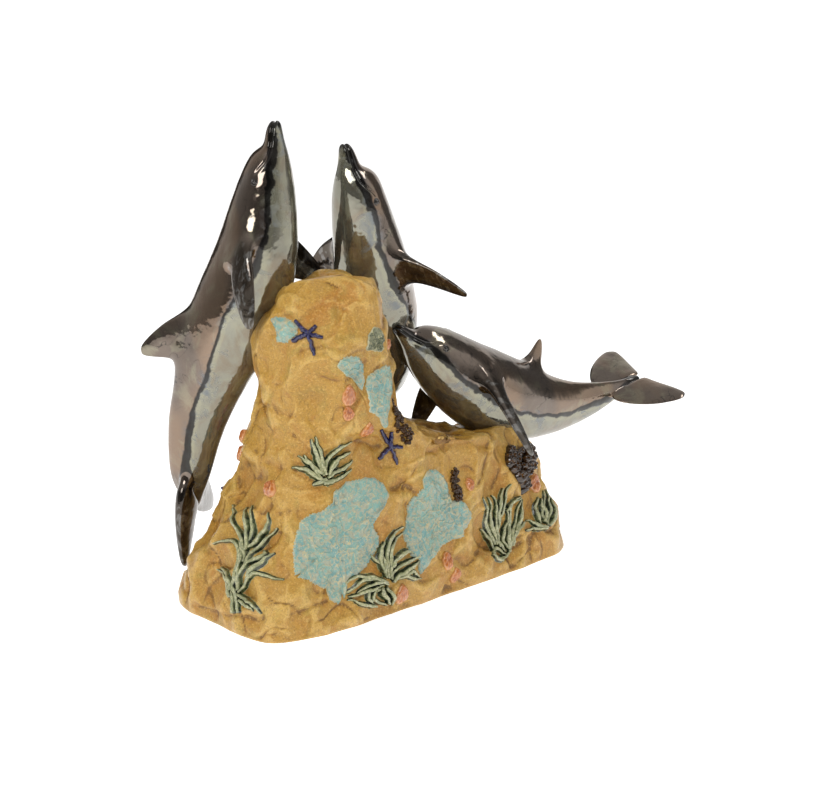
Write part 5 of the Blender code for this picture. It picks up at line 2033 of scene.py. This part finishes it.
@dataclass
class Shell(Sprig):
    """Small applied shell with ribs that fan out from its beak."""

    slot = Slot.SALMON
    glaze = SALMON_GLAZE
    bend = (3, 0.00022)

    radius: float
    tall: float = 1.12
    height: float = 0.0036
    ribs: int = 9
    sink: float = 0.0008
    root: float = 0.0024

    def clay(self, ground: Ground) -> Clay:
        """Build the shell.

        Args:
            ground: the mound's surface.

        Returns:
            The closed form.
        """
        frame = ground.settle(*self.spot)
        seed = 40.0 * self.spot[0] + 17.0 * self.spot[1]
        beak = np.array([0.25 * sin(seed), 0.62 * self.tall]) * self.radius
        count, steps = 60, 13
        shares = np.linspace(0.0, 1.0, steps)[1:]
        points = [np.array(ground.press(frame, *beak)[0] + frame[3] * self.height * 0.92)]
        for share in shares:
            for angle in round_angles(count):
                pinch = 1.0 - 0.34 * max(0.0, sin(angle)) ** 2
                rim = np.array([cos(angle) * pinch, self.tall * sin(angle)]) * self.radius
                rim *= 1.0 + 0.05 * sin(3.0 * angle + seed) + 0.025 * cos(self.ribs * angle)
                spot = beak + (rim - beak) * share
                dome = max(0.0, 1.0 - share ** 3.2) ** 0.7
                fan = 0.1 * cos(self.ribs * angle + seed) * share * (1.0 - share ** 6)
                ring = 0.05 * sin(share * 15.0)
                lift = self.height * (dome * (0.95 + ring) + fan) - 0.0001
                if share > 0.999:
                    lift = -self.sink
                points.append(np.array(ground.press(frame, *spot)[0] + frame[3] * lift))
        points.append(np.array(frame[0] - frame[3] * self.root))
        return Clay(np.array(points), button_faces(count, len(shares)))


@dataclass
class Barnacles(Sprig):
    """Cluster of small dark cones with open tops."""

    slot = Slot.AMBER
    glaze = AMBER_GLAZE
    bend = (2, 0.0004)

    discs: Table
    height: float = 0.0046
    spacing: float = 3.3
    sizes: tuple[float, float] = (1.9, 3.1)
    root: float = 0.0022

    def _cone(self, ground: Ground, frame: tuple, x: float, y: float, radius: float,
              seed: float) -> Clay:
        """One barnacle.

        Args:
            ground: the mound's surface.
            frame: frame from settle.
            x: local millimetres to the right.
            y: local millimetres up.
            radius: its radius in millimetres.
            seed: shift of its unevenness.

        Returns:
            The closed form.
        """
        middle, count = 0.42, 16
        profile = ((0.18, 0.44), (0.3, 0.86), (0.42, 1.0), (0.6, 0.86), (0.82, 0.5),
                   (1.0, 0.05), (1.04, -0.35))
        hit, slope = ground.press(frame, x, y)
        out = (frame[3] * 0.6 + slope * 0.4).normalized()
        right = (frame[1] - out * frame[1].dot(out)).normalized()
        up = out.cross(right)
        tall = self.height * (0.76 + 0.4 * noise.noise(Vector((seed, 2.0, 1.0))))
        points = [np.array(hit + out * tall * middle)]
        for reach, lift in profile:
            for angle in round_angles(count):
                rag = 1.0 + 0.34 * noise.noise(Vector((seed, cos(angle), sin(angle))) * 1.4)
                rag *= 1.0 + 0.06 * cos(5.0 * angle + seed)
                way = right * cos(angle) + up * sin(angle)
                points.append(np.array(hit + way * (reach * radius * rag * MILLIMETRE)
                                       + out * tall * lift * rag))
        points.append(np.array(hit - out * self.root))
        return Clay(np.array(points), button_faces(count, len(profile)))

    def clay(self, ground: Ground) -> Clay:
        """Build the cluster.

        Args:
            ground: the mound's surface.

        Returns:
            The cones as one form.
        """
        frame = ground.settle(*self.spot)
        chance = np.random.default_rng(int(abs(self.spot[0]) * 1000))
        low = [min(d[k] - d[k + 2] for d in self.discs) for k in range(2)]
        high = [max(d[k] + d[k + 2] for d in self.discs) for k in range(2)]
        parts = []
        for x in np.arange(low[0], high[0] + 0.1, self.spacing):
            for y in np.arange(low[1], high[1] + 0.1, self.spacing):
                px, py = np.array([x, y]) + chance.uniform(-1.0, 1.0, 2)
                radius = chance.uniform(*self.sizes)
                if any(((px - d[0]) / d[2]) ** 2 + ((py - d[1]) / d[3]) ** 2 < 0.86
                       for d in self.discs):
                    parts.append(self._cone(ground, frame, px, py, radius, px * 3.1 + py))
        return Clay.joined(parts)


SPRIGS: tuple[Sprig, ...] = (
    Crust("coral_front_left", (-0.067, 0.296),
          ((24.6, 31.8), (30.7, 29.3), (35.2, 24.2), (36.7, 18.2), (33.4, 12.4), (28.1, 6.8),
           (24, 1.7), (22.3, -1.7), (24.1, -6.5), (28.5, -11.9), (27.4, -18.3), (24.3, -23.6),
           (18.3, -27.4), (13.5, -32.1), (5.4, -34.7), (-2.5, -37.6), (-6.5, -44.3),
           (-5.8, -51.6), (-9.7, -54.6), (-16.7, -49.7), (-18.3, -42.2), (-25, -38.8),
           (-32.7, -32.1), (-37.8, -26.3), (-41, -29.3), (-42.6, -27.7), (-42, -20.1),
           (-41.6, -13.2), (-39.3, -2.8), (-34.8, 4.9), (-31.3, 10), (-25.9, 12.8), (-18.4, 13.9),
           (-14.5, 16.2), (-9, 18.9), (-7.1, 27.1), (-0.8, 28.3), (2.6, 32), (10.3, 32.2),
           (19, 32.9)), (-9.5, -7.4)),
    Crust("coral_front_right", (0.124, 0.251),
          ((0.4, 37.4), (7.8, 34.9), (14.2, 29), (19.1, 21.7), (20.2, 13.8), (23.5, 7.7),
           (28.6, 8.2), (33.9, 3.1), (37.6, -6.1), (35.3, -11), (30.4, -16), (28.2, -21.6),
           (18.4, -20.8), (8.1, -21.9), (-0.1, -25.9), (-8, -29.2), (-11.6, -34.5),
           (-16.1, -38.7), (-19.7, -33.9), (-18.5, -26.6), (-25.6, -21.2), (-25.6, -13.8),
           (-27.2, -5.3), (-23.9, 0.7), (-21.3, 7.5), (-21, 15.1), (-18.7, 19.9), (-12.9, 20.1),
           (-8.4, 25.8), (-8.8, 32.8), (-6, 36.8)), (0.9, 2.5)),
    Crust("coral_back", (-0.079, 0.288, 180),
          ((28, 0), (24, 13), (12, 20), (-2, 24), (-16, 28), (-30, 25), (-38, 14), (-32, 2),
           (-28, -8), (-16, -18), (0, -22), (16, -18), (25, -10))),
    Crust("coral_column_low", (0.01, 0.658),
          ((-5.7, 19.8), (0.1, 20.9), (5.9, 21.9), (17.8, 18.3), (24.1, 10.8), (19.8, 4.6),
           (11.6, -0.4), (9.3, -7.3), (7.1, -11.9), (6.6, -17.7), (6.5, -24.5), (2.5, -19.8),
           (-0.6, -14.6), (-7.2, -10.1), (-10.7, -7.1), (-10.9, -2.1), (-10.2, 4.2), (-11, 10.1),
           (-9.6, 16.3)), (0.3, 3.6)),
    Crust("coral_column_mid", (-0.054, 0.761),
          ((-9.4, 8.6), (-3.9, 10), (1.7, 9.2), (7.4, 5.2), (11.6, -0.7), (9.8, -5.3),
           (11.6, -10.7), (7.7, -17.1), (4.2, -11.4), (-0.9, -5.7), (-7.2, -0.9), (-10.5, 1.4),
           (-12.2, 4.5)), (-1.1, 2)),
    Crust("coral_column_left", (-0.203, 0.868),
          ((-13.4, 7.7), (-6.5, 9.4), (0.2, 9.1), (5.7, 7.2), (10, 4.4), (10, -0.5), (5.8, -4.8),
           (0.1, -7.6), (-6.4, -7.9), (-6.3, -3.1), (-7.7, 1.4)), (1.6, 1.5)),
    Crust("coral_column_olive", (-0.003, 0.835),
          ((-4.5, 6.1), (-0.4, 8.3), (4.6, 5.3), (7.8, -0.3), (6.2, -5.7), (4.2, -9.6),
           (-3.6, -8.2), (-10.9, -5.4), (-9.5, -0.1)), (-0.7, -1), glaze=OLIVE_GLAZE),
    Barnacles("barnacles_column", (0.054, 0.568),
              ((0, 0, 7, 9), (3, -9, 5, 7), (-3, 9, 4, 7)), 0.003, 2.2, (1.1, 2.0)),
    Barnacles("barnacles_front", (0.178, 0.337), ((0, 2, 4, 10), (2, -8, 4, 7)),
              0.0034, 2.4, (1.3, 2.3)),
    Barnacles("barnacles_ledge", (0.343, 0.317),
              ((0, 0, 13, 13), (11, 7, 9, 9), (-8, 8, 8, 8), (4, -13, 9, 8)),
              0.007, 5.2, (3.0, 5.8)),
    Shell("shell_left", (-0.238, 0.407), 6.8, 0.95),
    Shell("shell_column_high", (-0.06, 0.683), 5.8, 1.42),
    Shell("shell_column_low", (-0.063, 0.63), 4.2, 1.4),
    Shell("shell_column_foot", (-0.022, 0.568), 5.9, 1.3),
    Shell("shell_front_middle", (0.054, 0.053), 6.4, 1.32),
    Shell("shell_front_upper", (0.159, 0.107), 5.3, 1.38),
    Shell("shell_front_lower", (0.181, 0.053), 4.7, 1.45),
    Shell("shell_front_high", (0.213, 0.321), 3.7, 1.4),
    Shell("shell_right", (0.378, 0.239), 6.0, 1.36),
    Shell("shell_side_upper", (0.152, 0.506, -90), 5.2),
    Shell("shell_side_lower", (0.146, 0.453, -90), 5.6),
    Shell("shell_column_right", (-0.133, 0.782, 90), 4.0),
    Shell("shell_back", (0.063, 0.165, 180), 6.2),
    Starfish("starfish_column", (-0.149, 0.86),
             ((-9.7, 11.6), (5.5, 8.3), (10.3, 0.2), (4.5, -12.6), (-11.5, -3)), (-0.1, 2.2)),
    Starfish("starfish_foot", (0.032, 0.481),
             ((-8.2, 18.5), (0.1, 15.6), (8.1, 2.9), (3.9, -9.6), (-9.4, -4.8)), (-0.7, 4.4)),
    Starfish("starfish_side", (0.14, 0.313, -100),
             ((-1, 16), (-15, 4), (-8, -13), (10, -12), (15, 6))),
    Weed("weed_left", (-0.114, 0.444),
         (((-1.7, 1.3), (-3.3, 9.1), (-5, 15.6), (-6.9, 21.4), (-8, 27.9)),
          ((-0.2, 1.8), (-1.1, 9.7), (-2.2, 16.1), (-4.1, 22.6), (-5.9, 29.1)),
          ((0.7, 4.6), (1.8, 10.8), (4.9, 15.5), (10, 18.7), (15.1, 21.1), (21, 23.3)),
          ((1.9, 1.7), (5.9, 7.7), (9.7, 11.6), (14.2, 14), (20, 16.3)),
          ((1.1, -0.4), (6.4, 2.7), (11.7, 4.3), (17.1, 6.6), (21.3, 10.4)),
          ((-2.5, -0.8), (-6.4, 4.5), (-9.4, 8.9), (-13.2, 12.7), (-17, 17.2)),
          ((-3.3, -1.4), (-7.3, 1.7), (-11.9, 5.6), (-16.7, 8), (-21.8, 9)),
          ((-3, 2.8), (-6.9, 7.3), (-10.5, 11.8), (-13.7, 17)),
          ((-0.5, -2.4), (4.6, -2.8), (10.6, -1.3), (16.1, 1.7), (20.1, 4.2)),
          ((0.3, -1), (-4.1, -2.8), (-9.9, -4.4)),
          ((-2, -3.6), (2.4, -3.3), (7.5, -2.4)))),
    Weed("weed_front_middle", (0.019, 0.107),
         (((2.5, 2.2), (1.7, 7.3), (-1.3, 11.6), (-5.7, 16.3), (-10.5, 21.9)),
          ((1.4, 4.6), (2.3, 12.2), (2.8, 19.4), (3.7, 25.9), (6.5, 30.5), (12.3, 34.3),
           (21, 35.7)),
          ((-0.9, 3.7), (-0.7, 10.7), (-0.1, 16.4), (0.1, 23.7), (1.5, 29.3)),
          ((-2.9, 7.7), (-3.2, 14.9), (-1.9, 22), (0.5, 27.3)),
          ((3.5, 2.7), (4.8, 9.5), (5.4, 16.7), (6.5, 23), (11.9, 27.7), (20.8, 31.1)),
          ((4.1, 1), (6.9, 6.2), (12.6, 9.2), (19.2, 10.4), (26.2, 11.6), (32.4, 12.4)),
          ((4.9, 10.2), (8.1, 14.7), (13.7, 16.1), (20.3, 17.4), (26.3, 15.2)),
          ((4.7, -0.6), (11.3, 2.9), (17.2, 4.4), (23.6, 6.4), (30, 9.3)),
          ((7.7, -0.6), (16.1, 0.8), (21.1, -1.9), (26.9, -4.2), (33.2, -5.3)),
          ((16.2, 2.3), (21.7, 3.2), (26.7, -0.4), (31, -3.9)),
          ((-0.7, 0), (-7.6, 4), (-13.2, 6.8), (-20.2, 8.6), (-26.2, 10.6), (-31.2, 9.4),
           (-35.3, 6.5)),
          ((0.3, -1.8), (-9, 2.2), (-15.7, 2.3), (-21.7, 0.8), (-26.6, -2.4)),
          ((-9.9, 5.3), (-18.7, 6.8), (-23.8, 5.8), (-27.9, 3), (-31.9, 0.7), (-36.5, -0.7)),
          ((-3.9, -1.5), (-11, -1.8), (-17.8, -1.6), (-23, -2.6), (-28.2, -3.5), (-33.7, -3.4)),
          ((-0.7, -4), (3.3, -9.7), (5.6, -15), (5, -19.6)),
          ((-4.2, -3.1), (-3.3, -8.1), (0.6, -13.8), (3.2, -18.3)),
          ((-17.9, -2.3), (-18.6, -6.6), (-13.8, -11.9), (-9.8, -15.5)),
          ((-9.9, -16.3), (-23.3, -11.2), (-27.8, -8.6), (-31.1, -5.9), (-34.6, -5.4)),
          ((-5.8, -4.2), (-12.7, -4.4), (-14.5, -7.8), (-8.6, -12.9), (-2.9, -16), (0.6, -18.4)))),
    Weed("weed_front_right", (0.289, 0.074),
         (((-4.7, 4), (-9.3, 14.2), (-14.5, 24.3), (-16.3, 32.7), (-18.5, 39.3), (-21.5, 43.6)),
          ((-2.7, 3.6), (-5.8, 13.4), (-9.9, 22.6), (-12.4, 30.5), (-12, 36.6), (-14.5, 42.4)),
          ((-0.9, 5.5), (-3.8, 15.3), (-5.8, 23.3), (-8, 32.7), (-7.6, 38.8), (-10.4, 43.1)),
          ((-2.8, 13.5), (-0.3, 22.3), (-3.8, 28.9), (-3.3, 34.1), (-1.7, 40), (2.1, 46.2)),
          ((-0.3, 1.5), (-1.8, 9.5), (-0.8, 17), (0.9, 24.3), (2.4, 30.1), (3.1, 36.7), (5.1, 44),
           (10, 47.6)),
          ((6.8, -0.8), (3.5, 6.1), (5.2, 13.4), (8.6, 18.9), (7.9, 25.2), (4.9, 30.4)),
          ((8.7, -2), (7.9, 6.6), (10.5, 13.9), (11.2, 21.5), (11, 28.4), (13.7, 32.5),
           (18.4, 33.8), (22.7, 35.2)),
          ((5.3, 28), (9.1, 31.8), (15.2, 34.4), (21.2, 36.2)),
          ((8.9, -4.4), (10.5, 3), (12.6, 10.2), (17, 17.1), (18.4, 24.7), (21.1, 29.5),
           (22.9, 34.4)),
          ((12, -0.4), (13.7, 6.9), (18, 13), (21.7, 19.2), (23.5, 26.6), (26, 33.1)),
          ((-7.4, 1.5), (-10.2, 8.3), (-14.8, 13.8), (-19.4, 19.2)),
          ((-11, -0.9), (-4.9, 1), (0.2, -2.5), (4.6, -5.8)),
          ((-12.3, -1.4), (-8.9, -5.3), (-1.9, -7.5), (5.3, -6.7), (9.2, -3.7)),
          ((-2.9, 6.7), (1.6, 1.9), (5.2, -3.6)),
          ((14.1, 9.9), (20.5, 13.2), (25.9, 15.9)))),
    Weed("weed_right_end", (0.406, 0.107),
         (((-4.9, 2.1), (-6.1, 9.8), (-4.8, 16), (-1.2, 22.2)),
          ((1.5, 1.2), (-0.9, 9.1), (1.9, 15.6), (5.3, 21.1), (6, 25.8)),
          ((2.1, -0.6), (7.4, 6.2), (10, 13.7), (13.4, 19.2), (10.4, 25.5)),
          ((3.5, -1.8), (13, 3.9), (17.3, 11), (16.9, 18.4)),
          ((1.5, -2.1), (-8.5, 1.4), (-14.3, 5.6), (-20.4, 8.9)),
          ((-0.8, -3.8), (-10.4, -0.3), (-18.8, 1.2), (-24, 1.1)),
          ((-0.9, 2.6), (3.6, 9.6), (-0.5, 16.3), (1.5, 20.6)))),
    Weed("weed_back", (-0.19, 0.14, 180),
         (((0, 0), (5, 8), (9, 15), (17, 21)), ((0, 1), (3, 11), (9, 20), (11, 29)),
          ((-1, 0), (-2, 12), (1, 22), (-3, 33)), ((-1, 1), (-6, 10), (-9, 19), (-16, 26)),
          ((-2, 0), (-8, 5), (-13, 11), (-20, 12)), ((1, 0), (2, 8), (0, 16), (4, 23)),
          ((2, 0), (9, 4), (15, 10), (18, 8)))),
    Weed("weed_left_end", (-0.314, 0.078),
         (((3.9, -2.7), (-0.1, 4.5), (-3.5, 10.3), (-7.2, 14.5), (-5.4, 20.4), (-6, 28.7),
           (-8.2, 37), (-12.9, 42), (-18.4, 44), (-27.1, 41.8), (-36.3, 37.5)),
          ((-0.7, 12.3), (-2.6, 18.9), (-0.3, 26.3), (3.4, 32.5), (2.1, 39.7), (4.5, 45.5),
           (7.1, 52), (11.2, 57), (14.7, 61.2)),
          ((0.9, 33.6), (-3.7, 40.1), (-8.6, 45.8), (-14.4, 50.6), (-20.2, 56.2), (-26.4, 62.7),
           (-35.8, 67.1)),
          ((-3.1, 40.9), (-4.9, 48.6), (-7.4, 55.5), (-10.5, 62.2), (-18.1, 69.1)),
          ((-4.2, 46.6), (-2.4, 52.7), (-3.2, 58.3), (-6.5, 65), (-13.2, 71.4)),
          ((-2.1, 43.3), (1.1, 47.5), (3.7, 53.1), (6.5, 59.4), (7.4, 65.1), (5.9, 70.5)),
          ((6.3, 23.9), (8.1, 29.2), (10.1, 32.7), (12.3, 36.3), (14.6, 40.6), (17.8, 44.1)),
          ((5.1, 32.9), (7.4, 36.5), (9.9, 38.7), (12.3, 42.3), (9.1, 44.5)),
          ((0.5, 11.1), (2.9, 17.2), (7.3, 24.1), (11.4, 27.8), (17, 27.9), (22.9, 27.2),
           (28.7, 28.1)),
          ((-6, 6.2), (-10.1, 11.7), (-17, 16.7), (-24.5, 20), (-28.9, 20.7)),
          ((-6.5, 11.1), (-10.2, 16.7), (-17, 21), (-25.2, 23.4)),
          ((0.1, 9.6), (5, 8.5), (13.3, 7.6), (20.6, 5.3), (24.4, 2)),
          ((-0.5, -4.3), (-2.1, 2.6), (-5.5, 7.7), (-8.5, 12.1)),
          ((3.1, 5.9), (9.8, 4.9), (18.1, 2.8)),
          ((-1.2, 21.9), (-3.7, 32.8), (-7.8, 40.8), (-12.4, 45.8)))),
)


def main() -> None:
    """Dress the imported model."""
    logging.basicConfig(level=logging.INFO, format="%(name)s %(message)s")
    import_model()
    Studio().set_up()
    mound = Mound().build()
    for dolphin in DOLPHINS:
        dolphin.build()
    ground = Ground(mound)
    for piece in SPRIGS:
        piece.build(ground)


if __name__ == "__main__":
    main()
